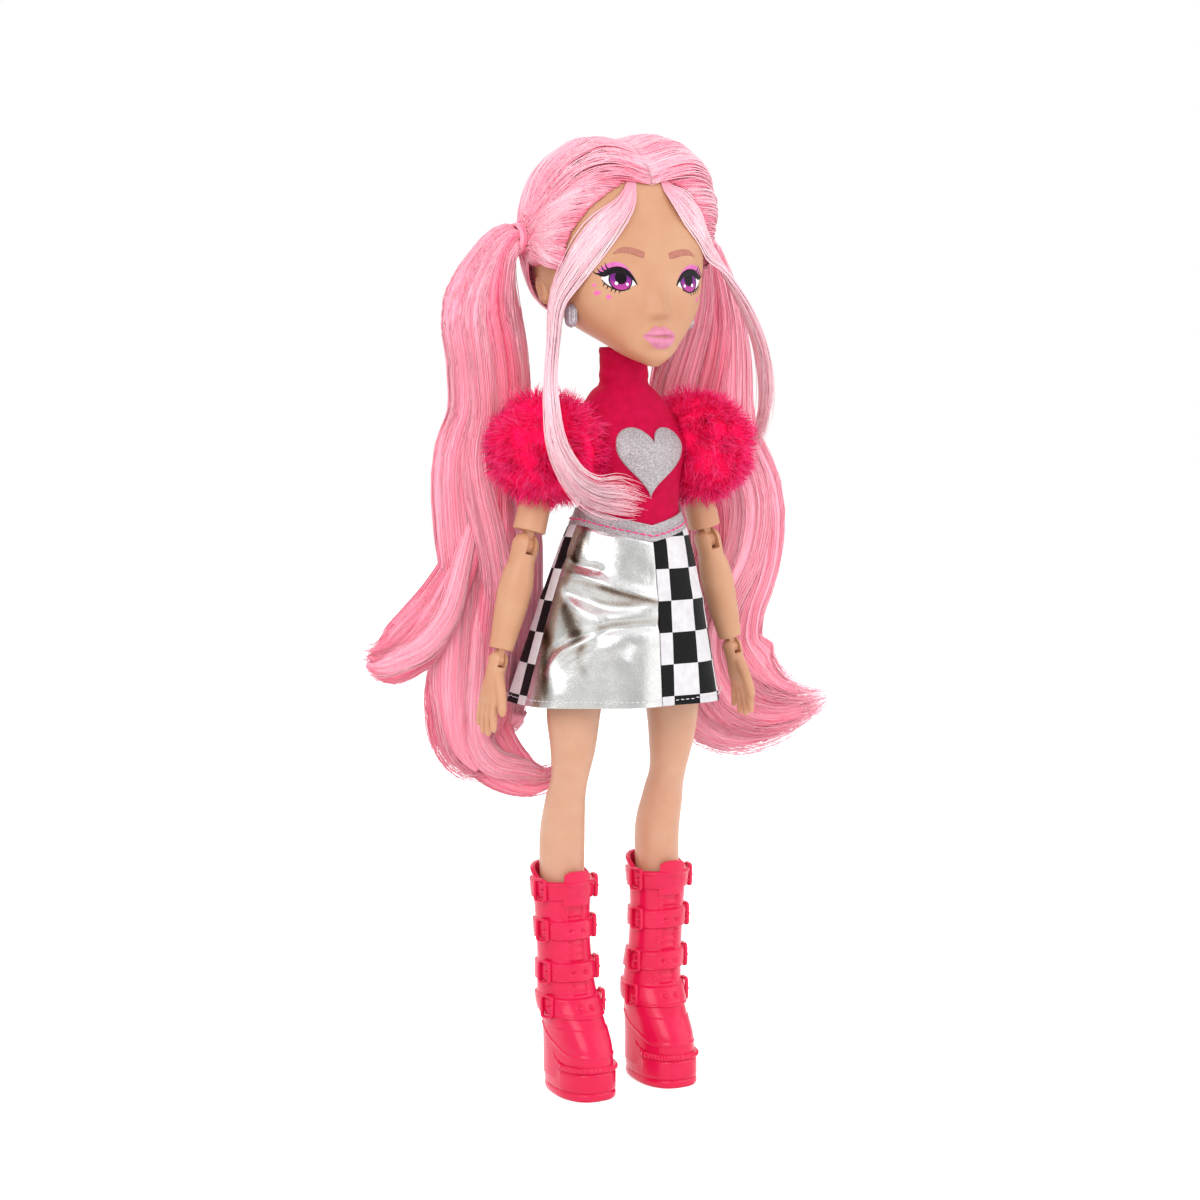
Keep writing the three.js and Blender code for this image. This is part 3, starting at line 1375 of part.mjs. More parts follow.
torsoShells();
addPiece('bodice', bodiceBody(), colours.jersey, 0.85);
const patchSeat = bodiceGrow + 2 * fit;
addPiece('heart_patch', patch(heartOutline(22), heartThickness, -1, patchSeat), colours.glitter, 0.6);
addPiece('back_closure', patch(closureOutline(), closureThickness, 1, patchSeat), colours.jersey, 0.9);
addPiece('waistband', waistband(), colours.glitter, 0.6);
const foilPanel = skirtPanel(rightSeamDegrees, frontSeamDegrees, 12, 12, true);
const backPanel = skirtPanel(leftSeamDegrees, rightSeamDegrees + 360, 20, 6);
addPiece('skirt_front_foil', foilPanel, colours.foil, 0.25, 0.9);
addPiece('skirt_front_checker', skirtPanel(frontSeamDegrees, leftSeamDegrees, 12, 6), colours.checker, 0.6);
addPiece('skirt_back_checker', backPanel, colours.checker, 0.6);

const sides = { left: (geometry) => geometry, right: mirror };
for (const [side, place] of Object.entries(sides)) {
  addArm(side, place);
  addLeg(side, place);
}

addPiece('neck_knob', neckKnob(), colours.plasticInside);
addPiece('head', head(), colours.skin, 0.5);
addPiece('hair_cap', hairCap(), colours.hair, 0.5);
for (const [side, place] of Object.entries(sides)) {
  addPiece(`${side}_earring`, place(earring()), colours.glitter, 0.4, 0.3);
  addPiece(`${side}_hair_elastic`, place(elastic()), colours.hair, 0.8);
}
addPiece('left_pigtail', pigtail(leftPigtailShares), colours.hair, 0.5);
addPiece('right_pigtail', mirror(pigtail(rightPigtailShares)), colours.hair, 0.5);
addPiece('left_tendril', tendril(leftTendrilShares), colours.paleHair, 0.5);
addPiece('right_tendril', mirror(tendril(rightTendrilShares)), colours.paleHair, 0.5);

export default doll;
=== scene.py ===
import json
import math

import bmesh
import bpy
import numpy as np
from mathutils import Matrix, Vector


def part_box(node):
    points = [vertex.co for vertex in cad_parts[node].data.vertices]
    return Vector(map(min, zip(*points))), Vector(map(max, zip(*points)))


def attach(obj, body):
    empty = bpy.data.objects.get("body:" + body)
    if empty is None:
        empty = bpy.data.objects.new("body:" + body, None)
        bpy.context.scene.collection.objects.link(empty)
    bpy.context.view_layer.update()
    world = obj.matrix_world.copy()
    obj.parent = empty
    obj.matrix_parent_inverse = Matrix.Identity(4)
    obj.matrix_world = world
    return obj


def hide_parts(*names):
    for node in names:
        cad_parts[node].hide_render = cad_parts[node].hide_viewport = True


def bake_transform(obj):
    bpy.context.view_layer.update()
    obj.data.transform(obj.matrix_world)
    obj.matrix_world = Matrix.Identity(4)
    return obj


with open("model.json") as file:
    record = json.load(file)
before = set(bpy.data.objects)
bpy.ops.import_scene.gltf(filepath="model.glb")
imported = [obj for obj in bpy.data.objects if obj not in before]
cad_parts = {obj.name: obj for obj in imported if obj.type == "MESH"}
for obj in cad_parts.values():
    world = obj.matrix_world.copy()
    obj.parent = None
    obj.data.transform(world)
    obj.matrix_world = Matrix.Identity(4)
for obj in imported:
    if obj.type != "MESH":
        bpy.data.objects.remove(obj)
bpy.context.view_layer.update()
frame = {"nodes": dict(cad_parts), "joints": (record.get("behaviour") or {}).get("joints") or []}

# Shapes are worked out in millimetres in the doll's own frame: the doll faces -y, its left side is
# +x, and the body axis is x = y = 0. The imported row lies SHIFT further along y.
MM = 0.001
LEG_SETBACK = 1.0
joints = {joint["name"]: joint for joint in frame["joints"]}
SHIFT = joints["neck_turn"]["pos_m"][1] / MM - LEG_SETBACK
rng = np.random.default_rng(20)
SIDES = {"left": 1, "right": -1}


def joint_place(name):
    return np.array(joints[name]["pos_m"]) / MM - (0, SHIFT, 0)


def node_box(name):
    low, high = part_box(name)
    return np.array(low) / MM - (0, SHIFT, 0), np.array(high) / MM - (0, SHIFT, 0)


def row_frame(point):
    return tuple((np.asarray(point, float) + (0, SHIFT, 0)) * MM)


def unit(vectors):
    return vectors / np.maximum(np.linalg.norm(vectors, axis=-1, keepdims=True), 1e-9)


def bell(distance):
    return np.exp(-(distance ** 2))


def ease(value):
    value = np.clip(value, 0, 1)
    return value * value * (3 - 2 * value)


def curve(at, places, values):
    """Smooth values between places."""
    places, values = np.asarray(places, float), np.asarray(values, float)
    at = np.asarray(at, float)
    slopes = np.gradient(values, places, axis=0)
    i = np.clip(np.searchsorted(places, at, side="right") - 1, 0, len(places) - 2)
    width = places[i + 1] - places[i]
    t = np.clip((at - places[i]) / width, 0, 1)
    if values.ndim > 1:
        t, width = t[..., None], width[..., None]
    a, b = values[i], values[i + 1]
    start, end = slopes[i] * width, slopes[i + 1] * width
    return a + start * t + (3 * (b - a) - 2 * start - end) * t**2 + (2 * (a - b) + start + end) * t**3


def spaced(stations, rows):
    """The same number of rows between stations, as a smooth table."""
    return curve(np.linspace(0, len(stations) - 1, rows), np.arange(len(stations)), stations)


def straight(at, places, values):
    """Values between places on straight lines, for each column of a table."""
    return np.stack([np.interp(at, places, column) for column in np.asarray(values).T], -1)


def superellipse(angle, squareness):
    c, s = np.cos(angle), np.sin(angle)
    return np.sign(c) * np.abs(c) ** squareness, np.sign(s) * np.abs(s) ** squareness


def turn(sides):
    return np.arange(sides) / sides * 2 * math.pi


def ball_grid(margin, sides, rows=40):
    """Two angles over a ball and the unit directions there; margin is left open round each pole."""
    a, b = np.meshgrid(np.linspace(margin, math.pi - margin, rows), turn(sides), indexing="ij")
    return a, b, np.stack([np.sin(a) * np.cos(b), np.sin(a) * np.sin(b), np.cos(a)], -1)


def grid_faces(rows, columns, around=True):
    r, c = np.meshgrid(np.arange(rows - 1), np.arange(columns if around else columns - 1), indexing="ij")
    a = r * columns + c
    b = r * columns + (c + 1) % columns
    return np.stack([a, b, b + columns, a + columns], -1).reshape(-1, 4)


class Shape:
    """Points and faces of one piece, gathered in millimetres."""

    def __init__(self):
        self.points, self.tones, self.maps, self.faces, self.slots, self.count = [], [], [], [], [], 0

    def add(self, points, groups, slot=0, tone=0.5, where=None):
        points = np.asarray(points, float).reshape(-1, 3)
        self.points.append(points)
        self.tones.append(np.broadcast_to(tone, (len(points),)))
        self.maps.append(np.zeros((len(points), 2)) if where is None else np.reshape(where, (-1, 2)))
        for group in groups:
            self.faces.append(np.asarray(group) + self.count)
            self.slots.append(np.full(len(group), slot))
        self.count += len(points)

    def loft(self, rings, slot=0, tone=0.5, caps=(True, True)):
        """A skin over rings (row, side, xyz), closed at the ends by fans."""
        rows, sides, _ = rings.shape
        groups, points = [grid_faces(rows, sides)], [rings.reshape(-1, 3)]
        around = np.arange(sides)
        ahead = (around + 1) % sides
        for end, closed in zip((0, rows - 1), caps):
            if not closed:
                continue
            tip = rows * sides + len(points) - 1
            points.append(rings[end].mean(0)[None])
            a, b = end * sides + around, end * sides + ahead
            fan = [np.full(sides, tip), b, a] if end == 0 else [np.full(sides, tip), a, b]
            groups.append(np.stack(fan, -1))
        points = np.concatenate(points)
        tones = np.asarray(tone, float)
        if tones.ndim:
            tones = np.concatenate([tones.reshape(-1), np.full(len(points) - rows * sides, tones.mean())])
        self.add(points, groups, slot, tones)

    def sheet(self, points, thickness, slot=0, tone=0.5, where=None):
        """A grid (row, column, xyz) of outer points with a second layer behind it, closed all round."""
        rows, columns, _ = points.shape
        down, across = np.gradient(points, axis=0), np.gradient(points, axis=1)
        inner = points - unit(np.cross(down, across)) * thickness
        layer = rows * columns
        outside = grid_faces(rows, columns, around=False)
        edge = np.concatenate([
            np.arange(columns - 1),
            np.arange(rows - 1) * columns + columns - 1,
            (rows - 1) * columns + np.arange(columns - 1, 0, -1),
            np.arange(rows - 1, 0, -1) * columns,
        ])
        ahead = np.roll(edge, -1)
        wall = np.stack([ahead, edge, edge + layer, ahead + layer], -1)
        both = np.concatenate([points.reshape(-1, 3), inner.reshape(-1, 3)])
        where = None if where is None else np.concatenate([where.reshape(-1, 2)] * 2)
        self.add(both, [outside, outside[:, ::-1] + layer, wall], slot, tone, where)

    def hairs(self, paths, half_width, towards, tone, slot=0, sides=3, root=0.8, tip=0.2):
        """Tapered hairs along paths (hair, point, xyz); towards is a direction that none runs along."""
        count, steps, _ = paths.shape
        along = unit(np.gradient(paths, axis=1))
        side = unit(np.cross(along, np.broadcast_to(towards, paths.shape)))
        back = np.cross(along, side)
        t = np.linspace(0, 1, steps)
        taper = np.minimum(1, root + (1 - root) * t * 5) * (1 - (1 - tip) * t**4)
        half = np.broadcast_to(half_width, (count,))[:, None] * taper
        angle = turn(sides)[:, None]
        out = np.cos(angle) * side[:, :, None] + np.sin(angle) * back[:, :, None]
        points = paths[:, :, None] + half[:, :, None, None] * out
        start = (np.arange(count) * steps * sides)[:, None, None]
        body = (grid_faces(steps, sides)[None] + start).reshape(-1, 4)
        first = np.arange(sides)[::-1][None, None]
        last = np.arange((steps - 1) * sides, steps * sides)[None, None]
        caps = np.concatenate([first + start, last + start]).reshape(-1, sides)
        tones = np.broadcast_to(np.reshape(tone, (count, -1)), (count, steps))
        self.add(points, [body, caps], slot, np.repeat(tones.reshape(-1), sides))

    def build(self, name, materials, smooth=180, tidy=False):
        """The finished object. smooth is the angle in degrees past which an edge stays sharp."""
        points = (np.concatenate(self.points) + (0, SHIFT, 0)) * MM
        mesh = bpy.data.meshes.new(name)
        sizes = np.concatenate([np.full(len(f), f.shape[1]) for f in self.faces])
        corners = np.concatenate([f.reshape(-1) for f in self.faces])
        mesh.vertices.add(len(points))
        mesh.vertices.foreach_set("co", points.astype(np.float32).ravel())
        mesh.loops.add(len(corners))
        mesh.loops.foreach_set("vertex_index", corners.astype(np.int32))
        mesh.polygons.add(len(sizes))
        mesh.polygons.foreach_set("loop_start", np.concatenate([[0], np.cumsum(sizes)[:-1]]).astype(np.int32))
        mesh.polygons.foreach_set("material_index", np.concatenate(self.slots).astype(np.int32))
        for material in materials:
            mesh.materials.append(material)
        mesh.update(calc_edges=True)
        tone = mesh.attributes.new("tone", "FLOAT", "POINT")
        tone.data.foreach_set("value", np.concatenate(self.tones).astype(np.float32))
        where = np.concatenate(self.maps)
        if where.any():
            layer = mesh.uv_layers.new(name="cloth")
            layer.data.foreach_set("uv", where[corners].astype(np.float32).ravel())
        shade_smooth(mesh)
        obj = bpy.data.objects.new(name, mesh)
        bpy.context.scene.collection.objects.link(obj)
        if tidy:
            outward(obj)
        if smooth < 180:
            mesh.set_sharp_from_angle(angle=math.radians(smooth))
        return obj


def shade_smooth(mesh):
    mesh.polygons.foreach_set("use_smooth", np.ones(len(mesh.polygons), bool))


def outward(obj):
    """Turns every face's front to the outside."""
    work = bmesh.new()
    work.from_mesh(obj.data)
    bmesh.ops.recalc_face_normals(work, faces=work.faces)
    work.to_mesh(obj.data)
    work.free()


def apply_modifier(obj, kind, **settings):
    modifier = obj.modifiers.new(kind.lower(), kind)
    for key, value in settings.items():
        setattr(modifier, key, value)
    bpy.context.view_layer.update()
    evaluated = obj.evaluated_get(bpy.context.evaluated_depsgraph_get())
    mesh = bpy.data.meshes.new_from_object(evaluated)
    obj.modifiers.clear()
    obj.data = mesh


def remesh(obj, voxel, rounds):
    """Melts overlapping closed parts into one smooth skin."""
    materials = list(obj.data.materials)
    apply_modifier(obj, "REMESH", mode="VOXEL", voxel_size=voxel * MM)
    apply_modifier(obj, "SMOOTH", factor=0.5, iterations=rounds)
    obj.data.materials.clear()
    for material in materials:
        obj.data.materials.append(material)
    shade_smooth(obj.data)


def sweep(stations, rows, sides):
    """Rings along a smooth curve; stations are [x, y, z, half width, half depth].
    The width lies along x, or upright where the curve itself runs along x."""
    table = spaced(np.asarray(stations, float), rows)
    middle, along = table[:, :3], unit(np.gradient(table[:, :3], axis=0))
    share = ease((np.abs(along[:, :1]) - 0.75) / 0.2)
    wide = (1 - share) * np.array([[1.0, 0, 0]]) + share * np.array([[0, 0, 1.0]])
    side = unit(wide - (wide * along).sum(1, keepdims=True) * along)
    back = np.cross(along, side)
    angle = turn(sides)
    out = np.cos(angle)[:, None] * side[:, None] * table[:, 3, None, None]
    return middle[:, None] + out + np.sin(angle)[:, None] * back[:, None] * table[:, 4, None, None]


def mirrored(points, side):
    return np.asarray(points) * (side, 1, 1)


# The photograph's camera

VIEW_DEGREES = -32.0
VIEW_DISTANCE = 680.0
VIEW_HEIGHT = 190.0
AIM = (-6.2, 3.3, 136.7)
PIXELS_PER_MM = 3.64
SENSOR = 36.0
PHOTO_PIXELS = 1200

eye = np.array([
    math.sin(math.radians(VIEW_DEGREES)) * VIEW_DISTANCE,
    -math.cos(math.radians(VIEW_DEGREES)) * VIEW_DISTANCE,
    VIEW_HEIGHT,
])
lens = bpy.data.cameras.new("camera")
lens.sensor_width = SENSOR
lens.lens = SENSOR * PIXELS_PER_MM * VIEW_DISTANCE / PHOTO_PIXELS
lens.clip_start = 0.01
camera = bpy.data.objects.new("camera", lens)
bpy.context.scene.collection.objects.link(camera)
camera.location = row_frame(eye)
camera.rotation_euler = Vector(np.array(AIM) - eye).to_track_quat("-Z", "Y").to_euler()
bpy.context.scene.camera = camera
bpy.context.scene.view_settings.view_transform = "Standard"


# Materials

class Nodes:
    """Makes and links the nodes of one tree."""

    def __init__(self, tree):
        self.tree = tree

    def node(self, kind, inputs=(), **settings):
        node = self.tree.nodes.new(kind)
        for key, value in settings.items():
            setattr(node, key, value)
        for key, value in dict(inputs).items():
            if isinstance(value, bpy.types.NodeSocket):
                self.tree.links.new(value, node.inputs[key])
            else:
                node.inputs[key].default_value = value
        return node

    def sums(self, operation, a, b):
        return self.node("ShaderNodeMath", {0: a, 1: b}, operation=operation).outputs[0]

    def grey(self, value, low, high):
        limits = {"Value": value, "To Min": low, "To Max": high}
        return self.node("ShaderNodeMapRange", limits).outputs["Result"]

    def direct(self):
        """1 for rays from the camera and for reflected and transmitted ones, else 0."""
        rays = self.node("ShaderNodeLightPath").outputs
        seen = self.sums("MAXIMUM", rays["Is Camera Ray"], rays["Is Glossy Ray"])
        return self.sums("MAXIMUM", seen, rays["Is Transmission Ray"])


class Look(Nodes):
    """A material on one Principled shader, with its nodes."""

    def __init__(self, name, **sockets):
        self.name = name
        self.material = bpy.data.materials.new(name)
        self.material.use_nodes = True
        super().__init__(self.material.node_tree)
        self.shader = self.tree.nodes["Principled BSDF"]
        for key, value in sockets.items():
            self.shader.inputs[key.replace("_", " ")].default_value = value
        self.place = self.node("ShaderNodeTexCoord").outputs["Object"]

    def stretched(self, scale):
        return self.node("ShaderNodeMapping", {"Vector": self.place, "Scale": scale}).outputs["Vector"]

    def noise(self, size, detail=3.0, rough=0.5, place=None):
        """Clouds whose grains are about size millimetres across."""
        grain = {"Scale": 1 / (size * MM), "Detail": detail, "Roughness": rough}
        return self.node("ShaderNodeTexNoise", {"Vector": place or self.place, **grain}).outputs["Fac"]

    def cells(self, size, output="Color"):
        inputs = {"Vector": self.place, "Scale": 1 / (size * MM)}
        return self.node("ShaderNodeTexVoronoi", inputs).outputs[output]

    def ramp(self, value, stops):
        node = self.node("ShaderNodeValToRGB", {"Fac": value})
        points = node.color_ramp.elements
        while len(points) < len(stops):
            points.new(0.5)
        for point, (place, colour) in zip(points, stops):
            point.position, point.color = place, (*colour, 1)
        return node.outputs["Color"]

    def clouded(self, value, dark, light, low=0.3, high=0.7):
        return self.ramp(value, [(low, dark), (high, light)])

    def tone(self, value, low, high):
        """The points' own tone with an uneven value of low to high added."""
        tone = self.node("ShaderNodeAttribute", attribute_name="tone").outputs["Fac"]
        return self.sums("ADD", tone, self.grey(value, low, high))

    def set(self, socket, value):
        self.tree.links.new(value, self.shader.inputs[socket])

    def rough(self, value, low, high):
        self.set("Roughness", self.grey(value, low, high))

    def bump(self, height, depth, strength):
        inputs = {"Height": height, "Distance": depth * MM, "Strength": strength}
        before = self.shader.inputs["Normal"].links
        if before:
            inputs["Normal"] = before[0].from_socket
        self.set("Normal", self.node("ShaderNodeBump", inputs).outputs["Normal"])


def linear(red, green, blue):
    """A colour as seen on the screen, 0 to 255, as the shader wants it."""
    return tuple(((c / 255 + 0.055) / 1.055) ** 2.4 if c > 10 else c / 3294.6 for c in (red, green, blue))


def plastic(name, colour, shade, roughness, size=6.0, grain=0.15, depth=0.01, **sockets):
    """Moulded plastic: slightly uneven colour, gloss and skin."""
    look = Look(name, **sockets)
    look.set("Base Color", look.clouded(look.noise(size, 4), shade, colour))
    look.rough(look.noise(size / 3), roughness - 0.06, roughness + 0.06)
    look.bump(look.noise(grain, 2), depth, 0.5)
    return look


def skin(name, colour, shade, roughness):
    look = plastic(name, colour, shade, roughness, 9.0, 0.12, 0.006, Subsurface_Weight=0.12,
                   Subsurface_Scale=0.002)
    look.shader.inputs["Subsurface Radius"].default_value = (1.0, 0.45, 0.3)
    return look


def hair(name, dark, middle, light):
    look = Look(name, Specular_IOR_Level=0.12)
    # The tone picks the colour from a shaded hot pink to a lit pale pink: painted shade and highlight where
    # the pieces set tone by depth and place, random elsewhere
    tone = look.tone(look.noise(0.5, 3, 0.6, look.stretched((1, 1, 0.06))), -0.22, 0.22)
    look.set("Base Color", look.ramp(tone, [(0.0, dark), (0.45, middle), (0.95, light)]))
    look.rough(look.noise(2.0), 0.29, 0.42)
    look.bump(look.noise(0.3, 2, 0.6, look.stretched((1, 1, 0.05))), 0.03, 0.3)
    return look


def cloth(name, dark, light, thread, roughness, **sockets):
    """Cloth whose threads are about thread millimetres apart."""
    look = Look(name, **sockets)
    uneven = look.noise(2.2, 3)
    look.set("Base Color", look.clouded(uneven, dark, light))
    weave = {"Vector": look.place, "Scale": 0.16 / (thread * MM), "Distortion": 1.5, "Detail Scale": 4.0}
    threads = [look.node("ShaderNodeTexWave", weave, bands_direction=way).outputs["Fac"] for way in "ZX"]
    look.rough(uneven, roughness - 0.05, roughness + 0.05)
    look.bump(look.sums("MULTIPLY", *threads), 0.06, 0.6)
    return look


def glitter(name, dark, light, size):
    """Crushed silver glitter: flakes that each catch the light in their own way."""
    look = Look(name, Metallic=0.25, Specular_IOR_Level=0.35)
    chance = look.node("ShaderNodeSeparateColor", {"Color": look.cells(size)}).outputs
    look.set("Base Color", look.ramp(chance[0], [(0.0, dark), (0.6, light), (1.0, linear(200, 193, 197))]))
    look.rough(chance[1], 0.25, 0.6)
    look.bump(look.cells(size, "Distance"), 0.12, 0.8)
    return look


def sewing_thread(name, dark, light):
    look = Look(name, Specular_IOR_Level=0.3)
    look.set("Base Color", look.clouded(look.noise(0.4), dark, light))
    look.rough(look.noise(0.3), 0.6, 0.8)
    return look


def jersey(name):
    look = cloth(name, linear(178, 3, 54), linear(194, 6, 66), 0.22, 0.75, Sheen_Weight=0.08,
                 Sheen_Roughness=0.4, Specular_IOR_Level=0.1)
    look.shader.inputs["Sheen Tint"].default_value = (*linear(255, 40, 110), 1)
    return look


def foil(name):
    """Crinkled silver foil whose colour is painted reflection, dark to bright by its folds."""
    look = Look(name, Metallic=0.9)
    tone = look.tone(look.noise(0.45, 3, 0.7), -0.2, 0.2)
    tone = look.sums("ADD", tone, look.grey(look.noise(5.0, 3), -0.14, 0.14))
    look.set("Base Color", look.ramp(tone, [
        (0.0, linear(56, 46, 40)), (0.2, linear(104, 90, 80)), (0.38, linear(152, 146, 140)),
        (0.55, linear(174, 173, 171)), (0.72, linear(188, 188, 187)), (0.95, linear(236, 236, 236)),
    ]))
    look.rough(look.noise(3.0), 0.2, 0.34)
    look.bump(look.noise(3.4, 3, 0.55), 0.22, 0.5)
    look.bump(look.noise(0.24, 2), 0.02, 0.6)
    return look


def checker(name):
    look = cloth(name, linear(224, 220, 224), linear(238, 235, 238), 0.26, 0.62, Specular_IOR_Level=0.12)
    place = look.node("ShaderNodeUVMap", uv_map="cloth").outputs["UV"]
    place = look.node("ShaderNodeMapping", {"Vector": place, "Location": (0, 0, 0.5)}).outputs["Vector"]
    squares = look.node("ShaderNodeTexChecker", {"Vector": place, "Scale": 1.0}).outputs["Fac"]
    white = look.clouded(look.noise(2.5), linear(208, 204, 208), linear(222, 219, 222))
    black = look.clouded(look.noise(0.6), linear(8, 8, 9), linear(20, 19, 21))
    both = look.node("ShaderNodeMix", {0: squares, 6: black, 7: white}, data_type="RGBA")
    look.set("Base Color", both.outputs[2])
    return look


def fur(name):
    look = Look(name, Specular_IOR_Level=0.03, Subsurface_Weight=0.3, Subsurface_Scale=0.0015)
    look.shader.inputs["Subsurface Radius"].default_value = (1.0, 0.2, 0.4)
    tone = look.tone(look.noise(1.2, 3), -0.15, 0.15)
    look.set("Base Color", look.ramp(tone, [
        (0.05, linear(255, 12, 82)), (0.5, linear(255, 28, 98)), (1.0, linear(255, 68, 132)),
    ]))
    look.rough(look.noise(2.0), 0.6, 0.8)
    return look


looks = [
    skin("skin", linear(202, 152, 118), linear(196, 141, 105), 0.46),
    skin("leg_skin", linear(207, 159, 131), linear(201, 147, 117), 0.4),
    skin("face_vinyl", linear(200, 150, 115), linear(194, 139, 104), 0.5),
    hair("hair", linear(255, 98, 138), linear(255, 162, 184), linear(255, 214, 224)),
    hair("pale_hair", linear(255, 166, 188), linear(255, 204, 216), linear(255, 240, 242)),
    jersey("jersey"),
    glitter("glitter_cloth", linear(140, 133, 136), linear(172, 164, 167), 0.24),
    glitter("earring", linear(150, 142, 152), linear(190, 184, 192), 0.5),
    cloth("closure", linear(190, 10, 76), linear(214, 20, 92), 0.35, 0.9),
    foil("foil_cloth"),
    checker("checker_cloth"),
    fur("fur"),
    plastic("boot_vinyl", linear(222, 24, 78), linear(214, 18, 70), 0.24, 8.0, 0.5, 0.01,
            Specular_IOR_Level=0.3, Subsurface_Weight=0.08, Subsurface_Scale=0.001),
    cloth("elastic", linear(236, 96, 138), linear(248, 140, 170), 0.3, 0.7),
    plastic("inner_plastic", linear(214, 163, 129), linear(208, 152, 116), 0.46),
    plastic("pin_steel", linear(200, 202, 206), linear(176, 178, 184), 0.28, 1.0, 0.2, 0.01, Metallic=1.0),
    sewing_thread("thread", linear(226, 50, 120), linear(244, 84, 146)),
    sewing_thread("pale_thread", linear(206, 202, 208), linear(236, 234, 238)),
]
materials = {look.name: look.material for look in looks}

for node in frame["nodes"].values():
    for holder in node.material_slots:
        holder.material = materials[holder.material.name.split(".")[0]]


def finish_piece(obj, body, slot, *nodes):
    """Rides the piece on its body and hides the CAD nodes that it stands for; slot is not used."""
    if body:
        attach(obj, body)
    if nodes:
        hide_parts(*nodes)
    return obj


def make_piece(shape, name, body, slot, *nodes, smooth=180, tidy=True, threads=()):
    """A finished piece in the material of its slot, and in that of any sewing threads on it."""
    looks = [materials[look] for look in (slot, *threads)]
    return finish_piece(shape.build(name, looks, smooth, tidy), body, slot, *nodes)


# Floor, world and lamps

FLOOR_RADII = (1.0, 900.0, 2600.0)
FLOOR_DROP = 0.02
FLOOR_GLOW = 0.6
LAMP_AIM = (0, 0, 130)

# Brightness of the white surroundings: how they light the doll, and how they look to direct rays
ROOM_LIGHT, ROOM_SEEN = 1.0, 1.0

# Lamps: name, place, size in metres, power in watts
lamps = [
    ("key", (-900, -900, 900), 0.9, 8.6),
    ("fill", (900, -800, 500), 1.0, 4.0),
    ("back", (300, 1000, 900), 0.8, 3.4),
]


def stage():
    look = Look("floor", Roughness=0.9, Specular_IOR_Level=0.0)
    look.set("Base Color", look.clouded(look.noise(60.0), (0.8, 0.8, 0.8), (0.82, 0.82, 0.82)))
    strength = look.sums("MULTIPLY", look.direct(), FLOOR_GLOW)
    glow = look.node("ShaderNodeEmission", {"Color": (1, 1, 1, 1), "Strength": strength})
    both = look.node("ShaderNodeAddShader", {0: look.shader.outputs["BSDF"], 1: glow.outputs["Emission"]})
    look.tree.links.new(both.outputs["Shader"], look.tree.nodes["Material Output"].inputs["Surface"])
    floor = Shape()
    radii = np.array(FLOOR_RADII)[:, None, None]
    angle = turn(64)[None, :, None]
    rings = [np.cos(angle) * radii, np.sin(angle) * radii, np.full((3, 64, 1), -FLOOR_DROP)]
    floor.loft(np.concatenate(rings, -1), caps=(True, False))
    floor.build("floor", [look.material], 60, tidy=True)
    world = bpy.data.worlds.new("world")
    bpy.context.scene.world = world
    world.use_nodes = True
    sky = Nodes(world.node_tree)
    background = sky.tree.nodes["Background"].inputs
    sky.tree.links.new(sky.grey(sky.direct(), ROOM_LIGHT, ROOM_SEEN), background["Strength"])
    background["Color"].default_value = (1, 1, 1, 1)
    for name, place, size, power in lamps:
        lamp = bpy.data.lights.new(name, "AREA")
        lamp.size = size
        lamp.energy = power
        holder = bpy.data.objects.new(name, lamp)
        bpy.context.scene.collection.objects.link(holder)
        holder.location = row_frame(place)
        holder.rotation_euler = Vector(np.array(LAMP_AIM) - place).to_track_quat("-Z", "Y").to_euler()


stage()

# Head

head_low, head_high = node_box("head")
CHIN = head_low[2]
TALL = head_high[2] - CHIN
HALF_WIDTH = head_high[0]
FACE_REACH = 17.0
SKULL_REACH = head_high[1]
ROOT = np.array([25.6, 12.5, CHIN + 34.5])
HEAD_MIDDLE = np.array([0.0, 9.0, CHIN + 32.0])
EAR_LEVEL = CHIN + TALL * 0.332
EAR_SETBACK = 11.0

# Head sections: height, half width, front reach and back reach, as shares
head_shares = np.array([
    [0, 0.05, 0.88, -0.44], [0.04, 0.25, 1, -0.2], [0.106, 0.47, 1.02, 0.07], [0.187, 0.7, 0.99, 0.42],
    [0.285, 0.86, 0.97, 0.7], [0.4, 0.95, 0.93, 0.9], [0.545, 1, 0.9, 1], [0.72, 0.97, 0.8, 1],
    [0.87, 0.78, 0.6, 0.85], [0.93, 0.6, 0.37, 0.71], [0.972, 0.4, 0.09, 0.56], [0.992, 0.2, -0.19, 0.41],
    [1, 0.06, -0.39, 0.3],
])


def head_section(z):
    """Half width, middle and half depth of the bare head at heights."""
    width, front, back = np.moveaxis(curve((z - CHIN) / TALL, head_shares[:, 0], head_shares[:, 1:]), -1, 0)
    front, back = -front * FACE_REACH, back * SKULL_REACH
    return np.maximum(width, 0.02) * HALF_WIDTH, (front + back) / 2, np.maximum((back - front) / 2, 0.3)


# Nose ridge: rise above the chin, how far it stands out, half width
nose_table = np.array([
    [11.0, 0.0, 2.6], [12.2, 0.5, 2.6], [13.3, 2.0, 2.5], [14.6, 3.5, 2.3], [15.8, 4.1, 2.2],
    [17.0, 3.7, 2.1], [19.0, 2.5, 2.1], [22.0, 1.2, 2.3], [25.5, 0.35, 2.8], [29.0, 0.0, 3.2],
])
EYE_X, EYE_RISE = 10.9, 23.4
LIP_RISE = 7.9

# Swellings and hollows on both sides: how far out, distance to the side, half width, rise, half height
nose_dabs = [(0.9, 2.5, 1.1, 14.2, 1.2), (-0.45, 1.3, 0.5, 12.7, 0.45)]
face_dabs = [
    (-0.3, 0.0, 1.0, 10.9, 0.9), (-0.35, 0.0, 3.5, 4.0, 1.0), (0.5, 0.0, 3.4, 1.8, 1.8),
    (-0.4, EYE_X, 5.5, EYE_RISE, 3.6), (0.25, EYE_X, 6.0, 29.0, 2.2),
]


